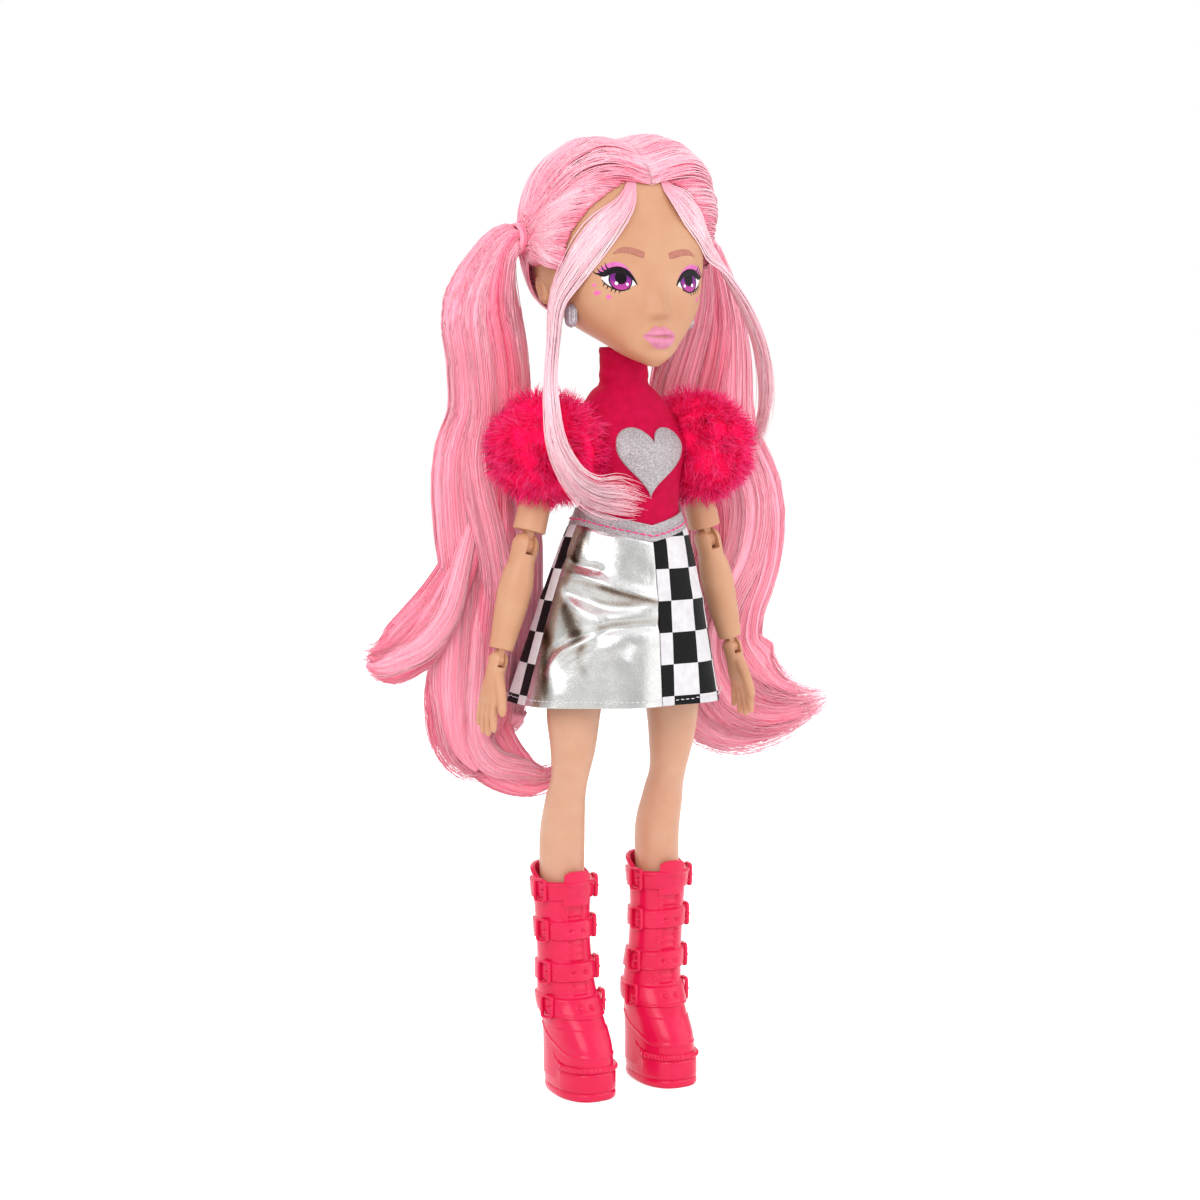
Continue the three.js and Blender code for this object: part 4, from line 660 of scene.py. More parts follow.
def dabbed(total, side, rise, dabs):
    for out, across, wide, up, high in dabs:
        total = total + out * bell((side - across) / wide) * bell((rise - up) / high)
    return total


def sculpted(x, z):
    """How far the face stands out of the plain head there."""
    rise, side = z - CHIN, np.abs(x)
    out, wide = np.moveaxis(curve(rise, nose_table[:, 0], nose_table[:, 1:]), -1, 0)
    ridge = np.where((rise > 11) & (rise < 29), out, 0) * bell(x / wide)
    total = dabbed(ridge, side, rise, nose_dabs)
    mouth = np.clip(1 - (x / 5.4) ** 2, 0, 1) ** 0.7
    upper = 1.25 * bell((rise - LIP_RISE - 1.1 - 0.25 * bell((side - 1.2) / 0.8)) / 1.15)
    lower = 1.5 * bell((rise - LIP_RISE + 1.4) / 1.5)
    line = 0.75 * bell((rise - LIP_RISE) / 0.32)
    return dabbed(total + mouth * (upper + lower - line), side, rise, face_dabs)


def front_power(z):
    """How square the head's front is: rounder at the chin, fuller from the nose up."""
    return 2.3 + 0.9 * ease((z - CHIN - 5) / 13)


def face_y(x, z, lift):
    """Where the face lies, lift millimetres off its skin."""
    half, middle, deep = head_section(z)
    power = front_power(z)
    share = np.clip(np.abs(x / half), 0, 0.999)
    root = (1 - share ** power) ** (1 / power)
    return middle - deep * root - sculpted(x, z) * root ** 0.5 - lift


def cheek_at(z, y):
    """Half width of the bare head at a height and setback."""
    half, middle, deep = (float(v) for v in head_section(np.array(float(z))))
    power = float(front_power(z)) if y < middle else 2.0
    return half * max(0.0, 1 - abs((y - middle) / deep) ** power) ** (1 / power)


NECK_HOLE = 11.2
KNOB_RADIUS = 4.0
HOLE_DEEP = 10.0
EAR_SIZE = np.array([2.5, 3.0, 4.4])

# Heights of the head's rows as shares of it, closer together at the face
head_rows = [0.0005, 0.05, 0.2, 0.45, 0.68, 0.93, 0.9995]


def make_head():
    rows, columns = 210, 240
    levels = CHIN + TALL * np.array(head_rows)
    z = np.interp(np.linspace(0, 1, rows), np.linspace(0, 1, len(levels)), levels)
    half, middle, deep = head_section(z)
    angle = turn(columns)[None]
    wide, along = superellipse(angle, np.where(np.sin(angle) < 0, 2 / front_power(z)[:, None], 1.0))
    x, y = half[:, None] * wide, middle[:, None] + deep[:, None] * along
    z = np.repeat(z[:, None], columns, 1)
    y = y - sculpted(x, z) * np.clip(-np.sin(angle), 0, 1) ** 0.5
    reach = np.hypot(x, y - LEG_SETBACK)
    dome = CHIN + (NECK_HOLE - reach) / (NECK_HOLE - KNOB_RADIUS) * HOLE_DEEP
    below = (reach < NECK_HOLE) & (z < CHIN + HOLE_DEEP)
    z = np.where(below, np.maximum(z, np.minimum(dome, CHIN + HOLE_DEEP)), z)
    shape = Shape()
    shape.loft(np.stack([x, y, z], -1))
    cheek = cheek_at(EAR_LEVEL, EAR_SETBACK)
    along, up, out = np.moveaxis(ball_grid(0.02, 56)[2], -1, 0)
    bowl = 0.75 * bell((along - 0.12) / 0.5) * bell((up + 0.05) / 0.55) * (out > 0)
    lobe = 0.2 * bell((up + 0.75) / 0.25)
    ear = np.stack([cheek + EAR_SIZE[0] * (out - bowl + lobe * (out > 0)),
                    EAR_SETBACK + EAR_SIZE[1] * along * (1 + 0.12 * up) + 1.6 * up,
                    EAR_LEVEL + 1.0 + EAR_SIZE[2] * up], -1)
    for side in SIDES.values():
        shape.loft(mirrored(ear, side))
    make_piece(shape, "head_skin", "head", "face_vinyl", "head")


make_head()


# Painted face: thin domed layers whose outlines are given across and up from the chin

def paint_look(name, low, high, size=1.5, roughness=0.32):
    look = Look(name, Specular_IOR_Level=0.12)
    look.set("Base Color", look.clouded(look.noise(size, 3), low, high, 0.35, 0.65))
    look.rough(look.noise(1.0), roughness - 0.04, roughness + 0.06)
    return look


def iris_look():
    look = Look("iris", Specular_IOR_Level=0.15)
    height = look.node("ShaderNodeSeparateXYZ", {"Vector": look.place}).outputs["Z"]
    low, high = (CHIN + EYE_RISE - 4) * MM, (CHIN + EYE_RISE + 3.4) * MM
    share = look.node("ShaderNodeMapRange", {"Value": height, "From Min": low, "From Max": high})
    share = look.sums("ADD", share.outputs["Result"], look.grey(look.noise(0.5, 3), -0.08, 0.08))
    look.set("Base Color", look.ramp(share, [
        (0.0, linear(190, 74, 140)), (0.3, linear(164, 56, 142)),
        (0.5, linear(120, 38, 130)), (1.0, linear(78, 20, 88)),
    ]))
    look.rough(look.noise(0.8), 0.24, 0.34)
    return look


paints = [
    paint_look("eye_white", linear(230, 226, 230), linear(240, 236, 240)),
    paint_look("eye_black", linear(20, 14, 18), linear(30, 22, 27)),
    paint_look("eye_shadow", linear(208, 100, 168), linear(218, 122, 186)),
    paint_look("pupil", linear(12, 6, 12), linear(24, 12, 22)),
    paint_look("gleam", linear(246, 244, 250), linear(255, 253, 255)),
    paint_look("brow", linear(172, 110, 94), linear(182, 122, 106), 0.8, 0.5),
    paint_look("cheek_dot", linear(226, 104, 160), linear(234, 120, 172)),
    paint_look("lip", linear(204, 122, 152), linear(216, 140, 166), 2.5, 0.4),
    iris_look(),
]
paint_names = [look.name for look in paints]
RIM_DEEP = 0.06


def closed_outline(points, steps):
    """A smooth closed outline through a few [across, rise] points."""
    loop = np.array([*points[-2:], *points, *points[:2]], float)
    places = np.arange(len(loop)) - 2.0
    return curve(np.arange(steps) / steps * len(points), places, loop)


def on_face(points, lift):
    """[across, rise] points where they lie on the face, lift millimetres off it."""
    across, z = points[:, 0], CHIN + points[:, 1]
    return np.stack([across, face_y(across, z, lift), z], -1)


def spot(shape, outline, lift, paint, side):
    """A filled outline on the face, lifted off it, with its rim inside the skin."""
    middle = outline.mean(0)
    rings = zip((1.0, 1.0, 0.94, 0.75, 0.5, 0.25), (-RIM_DEEP, lift * 0.7, lift, lift, lift, lift))
    layers = [on_face(middle + (outline - middle) * share, height) for share, height in rings]
    shape.loft(mirrored(layers, side), paint_names.index(paint))


def stroke(shape, points, widths, lift, paint, side, steps=22):
    """A painted line through [across, rise] points with a half width at each."""
    table = spaced(np.column_stack([points, widths]), steps)
    along = unit(np.gradient(table[:, :2], axis=0))
    across = np.stack([-along[:, 1], along[:, 0]], -1) * table[:, 2:3]
    heights = (-RIM_DEEP, lift * 0.8, lift, lift, lift * 0.8, -RIM_DEEP)
    profile = zip((-1, -0.95, -0.4, 0.4, 0.95, 1), heights)
    rings = np.array([on_face(table[:, :2] + across * share, height) for share, height in profile])
    shape.loft(mirrored(rings.transpose(1, 0, 2), side), paint_names.index(paint))


# Eyes are drawn at a plain size and then set smaller and nearer the nose
EYE_SCALE = np.array([0.86, 0.8])
EYE_MOVE = np.array([0.2, -0.1])


def eye_place(points):
    """Points of the plain drawing where they lie on the face."""
    middle = np.array([EYE_X, EYE_RISE])
    return middle + (np.asarray(points, float) - middle) * EYE_SCALE + EYE_MOVE


eye_outline = [(5.7, 21.6), (7.2, 23.9), (9.2, 25.4), (11.3, 25.9), (13.4, 25.4), (15.3, 24.3), (16.1, 23.4),
               (14.9, 21.6), (13.0, 20.3), (10.9, 19.8), (8.6, 20.0), (6.9, 20.8)]
IRIS = np.array([10.5, 22.9])


def oval(middle, half_width, half_height, steps=40):
    angle = turn(steps)
    return middle + np.stack([np.cos(angle) * half_width, np.sin(angle) * half_height], -1)


def within_lid(outline, gap=0.2):
    """An outline kept below the upper lid."""
    lid = np.array(eye_outline[:7])
    top = curve(np.clip(outline[:, 0], lid[0, 0], lid[-1, 0]), lid[:, 0], lid[:, 1])
    return np.stack([outline[:, 0], np.minimum(outline[:, 1], top - gap)], -1)


def paint_eye(shape, side):
    shadow = [(6.0, 23.2), (7.4, 25.8), (9.6, 27.9), (11.8, 28.7), (14.2, 28.3), (16.3, 26.8), (16.9, 24.8),
              (13.6, 25.2), (11.2, 25.6), (9.2, 25.0), (7.2, 23.4)]
    spots = (
        (closed_outline(shadow, 72), 0.03, "eye_shadow"),
        (closed_outline(eye_outline, 72), 0.06, "eye_white"),
        (within_lid(oval(IRIS, 3.75, 3.85)), 0.085, "eye_black"),
        (within_lid(oval(IRIS, 3.4, 3.5)), 0.11, "iris"),
        (within_lid(oval(IRIS + (0, 0.7), 1.9, 2.3)), 0.135, "pupil"),
        (oval(IRIS + (-1.9, -1.5), 0.42, 0.5, 16), 0.16, "gleam"),
        (oval(IRIS + (1.5, -1.2), 0.5, 0.58, 16), 0.16, "gleam"),
    )
    for outline, lift, paint in spots:
        spot(shape, eye_place(outline), lift, paint, side)
    lid = [(5.3, 21.4), (6.6, 23.4), (8.6, 25.3), (11.0, 26.1), (13.4, 25.8), (15.6, 24.6), (17.4, 24.9)]
    stroke(shape, eye_place(lid), [0.12, 0.42, 0.75, 0.9, 0.88, 0.7, 0.1], 0.17, "eye_black", side, 40)
    for k in range(4):
        start = np.array([13.4 + 0.85 * k, 25.9 - 0.4 * k])
        end = start + (1.9 + 0.1 * k, 2.6 - 0.55 * k)
        middle = (start + end) / 2 + (0.35, -0.4)
        stroke(shape, eye_place([start, middle, end]), [0.26, 0.17, 0.03], 0.12, "eye_black", side, 10)
    under = [(7.6, 19.9), (10.4, 19.4), (13.0, 19.9), (15.0, 21.4), (16.0, 22.8)]
    stroke(shape, eye_place(under), [0.05, 0.12, 0.14, 0.14, 0.08], 0.1, "eye_black", side, 24)
    for start in np.array([(10.9, 19.5), (12.2, 19.7), (13.3, 20.1), (14.4, 20.9), (15.3, 21.8)]):
        lash = eye_place([start, start + (0.2, -0.6), start + (0.5, -1.25)])
        stroke(shape, lash, [0.16, 0.12, 0.03], 0.1, "eye_black", side, 8)
    brow = [(3.9, 29.5), (5.4, 29.9), (8.2, 30.6), (10.8, 30.6), (13.0, 29.7)]
    stroke(shape, brow, [0.85, 1.0, 0.95, 0.75, 0.15], 0.03, "brow", side, 30)
    for across, rise, size in ((17.0, 21.4, 0.4), (16.4, 19.4, 0.62), (14.0, 18.3, 0.58)):
        corners = []
        for k in range(6):
            reach = size * (1 + 0.25 * (k % 2))
            corners.append((across + reach * math.cos(k * 1.05), rise + reach * math.sin(k * 1.05)))
        spot(shape, closed_outline(corners, 24), 0.03, "cheek_dot", side)


def paint_lips(shape):
    upper = [(-5.0, 8.0), (-3.2, 9.6), (-1.3, 10.7), (0, 10.3), (1.3, 10.7), (3.2, 9.6), (5.0, 8.0)]
    lower = [(3.7, 6.3), (2.0, 5.0), (0, 4.6), (-2.0, 5.0), (-3.7, 6.3)]
    outline = closed_outline(upper + lower, 96)
    middle = np.array([0, LIP_RISE - 0.2])
    shares = [1.0, 1.0, *np.linspace(0.97, 0.03, 22)]
    lifts = [-RIM_DEEP] + [0.05] * (len(shares) - 1)
    layers = [on_face(middle + (outline - middle) * share, lift) for share, lift in zip(shares, lifts)]
    shape.loft(np.array(layers), paint_names.index("lip"))


face = Shape()
paint_lips(face)
for side in SIDES.values():
    paint_eye(face, side)
finish_piece(face.build("face_paint", [look.material for look in paints], tidy=True), "head", "face_vinyl")


# Earrings: ribbed drops

def make_earring(name, side):
    low, high = node_box("left_earring")
    middle = (low + high) / 2
    sides, rows = 72, np.linspace(-1, 1, 24)[:, None]
    angle = turn(sides)
    bulge = np.sqrt(np.maximum(0.02, 1 - np.abs(rows) ** 3))
    ribs = 1 + 0.07 * np.cos(12 * angle)
    x = middle[0] + 0.5 + 1.5 * bulge * np.cos(angle) * ribs
    y = middle[1] - 0.2 + 2.1 * bulge * np.sin(angle) * ribs
    z = np.repeat(middle[2] - 0.4 + 3.2 * rows, sides, 1)
    shape = Shape()
    shape.loft(mirrored(np.stack([x, y, z], -1), side))
    make_piece(shape, f"{name}_earring_drop", "head", "earring", f"{name}_earring", smooth=40)


for name, side in SIDES.items():
    make_earring(name, side)

# Hair on the scalp, combed from the parting and the hairline to the two elastics

HAIRLINE = head_high[2] - 13.0
TEMPLE = CHIN + TALL * 0.447
TEMPLE_REACH = FACE_REACH * 0.18
HAIRLINE_REACH = 12.0
NAPE = CHIN + TALL * 0.147
HAIR_DEEP = 2.6

# Shares of the combed hairs that start at the parting and at the temples, and a lock's width in radians
PARTING_SHARE, TEMPLE_SHARE = 0.45, 0.33
LOCK_ANGLE = 0.085
ELASTIC_RADIUS = 3.7


def bald_radius(way):
    """The bare head's distance from the head's middle along unit directions."""
    low, high = np.full(way.shape[:-1], 2.0), np.full(way.shape[:-1], 48.0)
    for _ in range(26):
        middle = (low + high) / 2
        place = HEAD_MIDDLE + way * middle[..., None]
        half, centre, deep = head_section(np.clip(place[..., 2], CHIN, CHIN + TALL))
        power = np.where(place[..., 1] < centre, front_power(place[..., 2]), 2.0)
        inside = np.abs(place[..., 0] / half) ** power + np.abs((place[..., 1] - centre) / deep) ** power < 1
        inside &= (place[..., 2] > CHIN) & (place[..., 2] < CHIN + TALL)
        low, high = np.where(inside, middle, low), np.where(inside, high, middle)
    return (low + high) / 2


def hairline_y(z):
    slope = (HAIRLINE_REACH - TEMPLE_REACH) / (HAIRLINE - TEMPLE)
    upper = -TEMPLE_REACH - slope * (z - TEMPLE) + 1.3 * bell((z - TEMPLE - 6) / 6)
    lower = -TEMPLE_REACH + 1.5 * (TEMPLE - z)
    return np.where(z > TEMPLE, upper, lower)


def nape_line(y):
    """Height of the hair's lower edge, which rises from the nape to above the ear."""
    low = NAPE + 6.0
    return low + (EAR_LEVEL + 7.0 - low) * (1 - ease((y - 16.0) / 9.0))


def behind_hairline(place):
    """Millimetres behind the hairline, negative in front of it and below the nape."""
    back = (place[..., 1] - hairline_y(place[..., 2])) * 0.85
    above = np.where(place[..., 1] > -TEMPLE_REACH, place[..., 2] - nape_line(place[..., 1]), 9.0)
    ear = np.hypot((place[..., 1] - EAR_SETBACK) / 4.4, (place[..., 2] - EAR_LEVEL + 0.5) / 6.4)
    beside = np.where(np.abs(place[..., 0]) > HALF_WIDTH * 0.6, (ear - 1) * 3.5, 9.0)
    return np.minimum(np.minimum(back, above), beside)


def streaks(angle, count, seed):
    """Smooth random values round a circle."""
    table = np.random.default_rng(seed).uniform(-1, 1, count)
    return np.interp(angle / (2 * math.pi) % 1 * count, np.arange(count + 1), np.append(table, table[0]))


def make_scalp():
    rows, columns = 150, 520
    polar = np.linspace(0.01, math.pi - 0.01, rows)[:, None]
    around = turn(columns)[None]
    way = [np.cos(polar) + 0 * around, np.sin(polar) * np.cos(around), np.sin(polar) * np.sin(around)]
    way = np.stack(way, -1)
    radius = bald_radius(way)
    place = HEAD_MIDDLE + way * radius[..., None]
    inward = behind_hairline(place)
    groove = 0.22 * streaks(around, 150, 3) + 0.16 * streaks(around, 60, 4)
    parting = bell(place[..., 0] / 1.3)
    deep = np.where(inward > 0, 0.2 + 0.5 * ease(inward / 3) + groove * ease(inward / 4), -0.9)
    deep = deep - 0.3 * parting * (inward > 1)
    # The cap is painted darker than the hairs over it and darker again towards the hairline, as shade under
    # the hair; it is lighter along the parting
    tone = 0.42 + 0.12 * streaks(around, 110, 5) - 0.25 * (1 - ease(inward / 2.0)) + 0.7 * parting
    shape = Shape()
    shape.loft(HEAD_MIDDLE + way * (radius + deep)[..., None], tone=tone)
    make_piece(shape, "hair_scalp", "head", "hair", "hair_cap")


def great_circle(start, end, t):
    """Unit directions along the shortest way from each start to its end."""
    angle = np.arccos(np.clip((start * end).sum(-1), -1, 1))[:, None, None]
    t = t[None, :, None]
    return unit(np.sin((1 - t) * angle) * start[:, None] + np.sin(t * angle) * end[:, None])


def scalp_starts(count):
    """Unit directions where hairs of the left side leave the scalp: parting, temples, then nape."""
    parting, edge = int(count * PARTING_SHARE), int(count * TEMPLE_SHARE)
    nape = count - parting - edge
    front, back = math.radians(143.5), math.radians(-52)
    angle = front + (back - front) * rng.random(parting)
    side = np.abs(rng.normal(0, 0.012, parting))
    over = unit(np.stack([side, np.cos(angle), np.sin(angle)], -1))
    z = HAIRLINE + 0.5 - (HAIRLINE - TEMPLE + 2) * rng.random(edge) ** 1.1
    y = hairline_y(z) + rng.uniform(0.1, 1.3, edge)
    half, middle, deep = head_section(z)
    x = half * np.sqrt(np.clip(1 - ((y - middle) / deep) ** 2, 0.0005, 1))
    temple = unit(np.stack([x, y, z], -1) - HEAD_MIDDLE)
    bearing = np.radians(rng.uniform(-4, 90, nape))
    half, middle, deep = head_section(np.full(nape, EAR_LEVEL + 2.0))
    z = nape_line(middle + deep * np.sin(bearing)) + rng.uniform(0.2, 1.6, nape)
    half, middle, deep = head_section(z)
    low = np.stack([half * np.cos(bearing), middle + deep * np.sin(bearing), z], -1)
    return np.concatenate([over, temple, unit(low - HEAD_MIDDLE)])


def scalp_hairs(shape, side):
    """Hairs combed to one elastic, gathered in locks; the doll's left side is fuller."""
    count, steps = 2300, 22
    start = scalp_starts(count)
    t = np.linspace(0, 1, steps)
    spin, wide = rng.uniform(0, 2 * math.pi, count), ELASTIC_RADIUS * np.sqrt(rng.random(count))
    end_point = ROOT + np.stack([rng.uniform(-0.6, 1.2, count), np.cos(spin) * wide, np.sin(spin) * wide], -1)
    way = great_circle(start, unit(end_point - HEAD_MIDDLE), t)
    order = np.arctan2(start[:, 2], start[:, 1])
    lock = np.round(order / LOCK_ANGLE)
    pull = (lock * LOCK_ANGLE - order)[:, None] * 0.3 * np.sin(math.pi * t)[None]
    c, s = np.cos(pull), np.sin(pull)
    way = np.stack([way[..., 0], way[..., 1] * c - way[..., 2] * s, way[..., 1] * s + way[..., 2] * c], -1)
    layer = rng.random(count) ** 0.6
    humps = 0.35 * np.sin(lock * 2.1)
    full = 3.2 if side > 0 else 0.3
    swell = np.sin(math.pi * np.clip(t * 1.15, 0, 1)) ** 1.2
    rise = 0.6 + (1.3 + 0.4 * layer + 0.7 * humps)[:, None] * ease(t * 4)[None]
    rise = rise + full * swell[None] * (0.85 + 0.15 * layer)[:, None]
    place = HEAD_MIDDLE + way * (bald_radius(way) + rise)[..., None]
    home = ease((t - 0.72) / 0.28)[None, :, None]
    place = mirrored(place * (1 - home) + end_point[:, None] * home, side)
    # Hairs lying lower on the scalp are painted darker than outer ones, as shade; those from the temples and
    # nape are painted darker at their roots along the hairline, as shade there, those from the parting
    # lighter; all are painted darker where they gather at the elastic, and a lighter band a third of the way
    # along is a painted highlight
    tone = 0.5 + 0.3 * (layer - 0.5) + rng.normal(0, 0.12, count) + 0.1 * np.sin(lock * 1.7)
    root_tone = np.where(np.arange(count) >= int(count * PARTING_SHARE), -0.3, 0.25)
    tone = tone[:, None] + root_tone[:, None] * np.exp(-t * 30)[None] + 0.16 * bell((t - 0.35) / 0.16)[None]
    tone = tone - 0.25 * ease((t - 0.8) / 0.2)[None]
    shape.hairs(place, rng.uniform(0.13, 0.21, count), place - HEAD_MIDDLE, tone, root=0.9, tip=0.8)


make_scalp()
combed = Shape()
for side in SIDES.values():
    scalp_hairs(combed, side)
make_piece(combed, "hair_combed", "head", "hair", tidy=False)


# What hanging hair lies against, as sections [height, middle, half width, half depth]

body_table = np.array([
    [100, 5.0, 32.4, 25.8], [107.5, 5.0, 32.4, 25.8], [120, 3.0, 29.0, 22.4], [140, 0.2, 22.6, 16.8],
    [156, -1.6, 16.2, 12.4], [163, -1.6, 15.0, 11.2], [180, -1.6, 16.8, 13.2], [186, 0, 16.4, 10.6],
    [192.5, 1, 10.9, 9.2], [196, 1, 7.0, 7.0], [212, 1, 7.0, 7.0],
])
PUFF = np.array([24.2, 1.7, 178.6])
PUFF_SIZE = np.array([16.6, 18.4, 16.4])
SHOULDER = joint_place("left_shoulder_swing")
ARM_TILT = math.radians(15.5)
ARM_RADIUS, ARM_LONG = 5.4, 84
BODY_LOW, BODY_HIGH = 104, 200
HEAD_SIDE = 25
DOWN = np.array([math.sin(ARM_TILT), 0, -math.cos(ARM_TILT)])


def clear_of_puff(place, gap):
    """Points of the left side, those in the fur sleeve moved out of it."""
    inside = np.linalg.norm((place - PUFF) / (PUFF_SIZE + gap), axis=-1, keepdims=True)
    return np.where(inside < 1, PUFF + (place - PUFF) / np.maximum(inside, 0.05), place)


def clear_of_head(place, lift):
    """Points, those less than lift outside the bare head moved out to there."""
    out = place - HEAD_MIDDLE
    far = np.linalg.norm(out, axis=-1, keepdims=True)
    wall = bald_radius(out / far)[..., None] + lift
    return np.where(far < wall, HEAD_MIDDLE + out / far * wall, place)


def clear_of_body(place, gap):
    """Moves points of the left side out of the head, body, sleeve and arm."""
    place = clear_of_puff(place, gap)
    along = np.clip(((place - SHOULDER) @ DOWN), 0, ARM_LONG)
    axis = SHOULDER + along[..., None] * DOWN
    out = place - axis
    near = np.linalg.norm(out, axis=-1, keepdims=True)
    reach = ARM_RADIUS + gap
    place = np.where(near < reach, axis + out / np.maximum(near, 0.1) * reach, place)
    middle, half, deep = np.moveaxis(straight(place[..., 2], body_table[:, 0], body_table[:, 1:]), -1, 0)
    near = np.linalg.norm(np.stack([place[..., 0] / half, (place[..., 1] - middle) / deep], -1), axis=-1)
    x, y, z = np.moveaxis(place, -1, 0)
    grow = np.where((near < 1) & (z > BODY_LOW) & (z < BODY_HIGH), 1 / np.maximum(near, 0.1), 1)
    place = np.stack([x * grow, middle + (y - middle) * grow, z], -1)
    return np.where(place[..., :1] < HEAD_SIDE, clear_of_head(place, 1.6), place)


# Pigtails: sections [reach, setback, height, half width, half depth] as shares

PIGTAIL_REACH, PIGTAIL_DROP, PIGTAIL_HALF = 69.0, 153.0, 17.0
BACK_REACH = SKULL_REACH + HAIR_DEEP

pigtail_shares = {
    "right": [[
        [0.18, 0.084, 0.965, 0.38, 0.33], [0.253, 0.163, 0.88, 0.66, 0.42], [0.173, 0.279, 0.79, 0.7, 0.44],
        [0.118, 0.394, 0.693, 0.72, 0.46], [0.157, 0.463, 0.6, 0.84, 0.47], [0.118, 0.511, 0.497, 0.92, 0.47],
        [0.094, 0.558, 0.392, 0.9, 0.44], [0.141, 0.578, 0.288, 0.97, 0.41], [0.205, 0.578, 0.183, 1, 0.38],
        [0.25, 0.55, 0.115, 0.78, 0.32], [0.2, 0.53, 0.07, 0.5, 0.24], [0.08, 0.5, 0.05, 0.14, 0.1],
    ], [
        [0.14, 0.5, 0.4, 0.08, 0.08], [0.2, 0.54, 0.26, 0.4, 0.28], [0.2, 0.54, 0.15, 0.56, 0.3],
        [0.1, 0.51, 0.075, 0.56, 0.26], [-0.08, 0.47, 0.035, 0.42, 0.2], [-0.25, 0.42, 0.022, 0.26, 0.12],
        [-0.4, 0.39, 0.04, 0.1, 0.05],
    ], [
        [0.14, 0.5, 0.58, 0.08, 0.08], [0.24, 0.52, 0.47, 0.3, 0.24], [0.43, 0.479, 0.365, 0.46, 0.3],
        [0.64, 0.4, 0.3, 0.5, 0.26], [0.8, 0.33, 0.268, 0.46, 0.2], [0.93, 0.28, 0.26, 0.36, 0.13],
        [1.05, 0.25, 0.27, 0.18, 0.05],
    ]],
    "left": [[
        [0.205, 0.084, 0.985, 0.42, 0.34], [0.27, 0.163, 0.882, 0.78, 0.44], [0.27, 0.24, 0.79, 0.98, 0.46],
        [0.26, 0.27, 0.7, 1.06, 0.46], [0.36, 0.29, 0.61, 1.06, 0.46], [0.53, 0.29, 0.52, 1.1, 0.46],
        [0.55, 0.3, 0.42, 1.04, 0.45], [0.44, 0.31, 0.33, 1.0, 0.44], [0.4, 0.3, 0.25, 1.06, 0.4],
        [0.5, 0.24, 0.18, 1.14, 0.36], [0.68, 0.16, 0.14, 0.9, 0.28], [0.92, 0.04, 0.128, 0.5, 0.2],
        [1.2, -0.06, 0.145, 0.12, 0.07],
    ]],
}


def lock_table(shares, from_root):
    rows = np.array(shares)
    table = np.column_stack([
        ROOT[0] + rows[:, 0] * (PIGTAIL_REACH - ROOT[0]),
        ROOT[1] + rows[:, 1] * (BACK_REACH - ROOT[1]),
        ROOT[2] - (1 - rows[:, 2]) * PIGTAIL_DROP,
        rows[:, 3:] * PIGTAIL_HALF,
    ])
    if from_root:
        stem = [[ROOT[0] + out, *ROOT[1:], half, half] for out, half in ((-0.8, 3.2), (1.4, 3.4), (4.0, 4.6))]
        table = np.concatenate([stem, table])
    return table


def locks_of(table, clumps, steps, seed):
    """Middle lines and half widths of the clumps that make up one lock, with its side directions."""
    chance = np.random.default_rng(seed)

    def each(low, high):
        return chance.uniform(low, high, (clumps, 1))

    rows = spaced(table, steps)
    middle, half = rows[:, :3], rows[:, 3:]
    along = unit(np.gradient(middle, axis=0))
    side = unit(np.cross(along, (0, 1, 0)))
    back = np.cross(along, side)
    t = np.linspace(0, 1, steps)[None]
    angle = turn(clumps)[:, None] + each(-0.2, 0.2) + 1.3 * t + 0.35 * np.sin(t * each(5, 11) + each(0, 6))
    out = each(0.5, 0.66) * (1 + 0.12 * np.sin(t * 9 + each(0, 6)))
    if clumps > 4:
        out[0] *= 0.15
    place = (middle[None] + (np.cos(angle) * out * half[None, :, 0])[..., None] * side[None]
             + (np.sin(angle) * out * half[None, :, 1])[..., None] * back[None])
    size = chance.uniform(0.36, 0.46, (clumps, 1, 1)) * half[None]
    return place, size, side, back


def hair_paths(place, size, side, back, count, seed):
    """Hairs that follow the clumps, each ending a little short of the lock's tip."""
    chance = np.random.default_rng(seed)
    clumps, steps, _ = place.shape
    which = chance.integers(0, clumps, count)
    spin = chance.uniform(0, 2 * math.pi, count)
    near = chance.uniform(0.9, 1.03, count)
    t = np.linspace(0, 1, steps)
    sway = 0.05 * np.sin(t[None] * chance.uniform(8, 26, (count, 1)) + chance.uniform(0, 6, (count, 1)))
    loose = np.where(chance.random(count) < 0.03, 4.0, 1.0)[:, None]
    a = (np.cos(spin) * near)[:, None] * size[which, :, 0] * (1 + sway * loose)
    b = (np.sin(spin) * near)[:, None] * size[which, :, 1] * (1 + sway * loose)
    paths = place[which] + a[..., None] * side[None] + b[..., None] * back[None]
    paths = paths + chance.normal(0, 1.0, (count, 1, 3)) * (t ** 6)[None, :, None] * 1.3
    # Hairs lying deeper in their clump are painted darker, as shade; the rest of their tone differs at random
    # and by clump
    tone = 0.5 + chance.normal(0, 0.12, count) + 0.14 * np.sin(which * 2.4) + 0.6 * (near - 0.96)
    return paths, tone, chance.uniform(0.8, 1.0, count)


def cut_paths(paths, first, last, steps):
    """The stretch of each path between two shares of its length, as an even number of points."""
    old = np.linspace(0, 1, paths.shape[1])
    stretches = zip(paths, first, last)
    return np.array([straight(np.linspace(start, end, steps), old, path) for path, start, end in stretches])


# Height where the pigtail's top meets its fall, how far that height scatters, how far the clumps' cores lap
# over it, and the share of each core's length where it ends
SPLIT_HEIGHT = CHIN + 14.5
SPLIT_SPREAD = 6.0
CORE_LAP = 0.03
CORE_END = 0.95
HAIR_TOWARDS = (0.2, 1, 0.1)


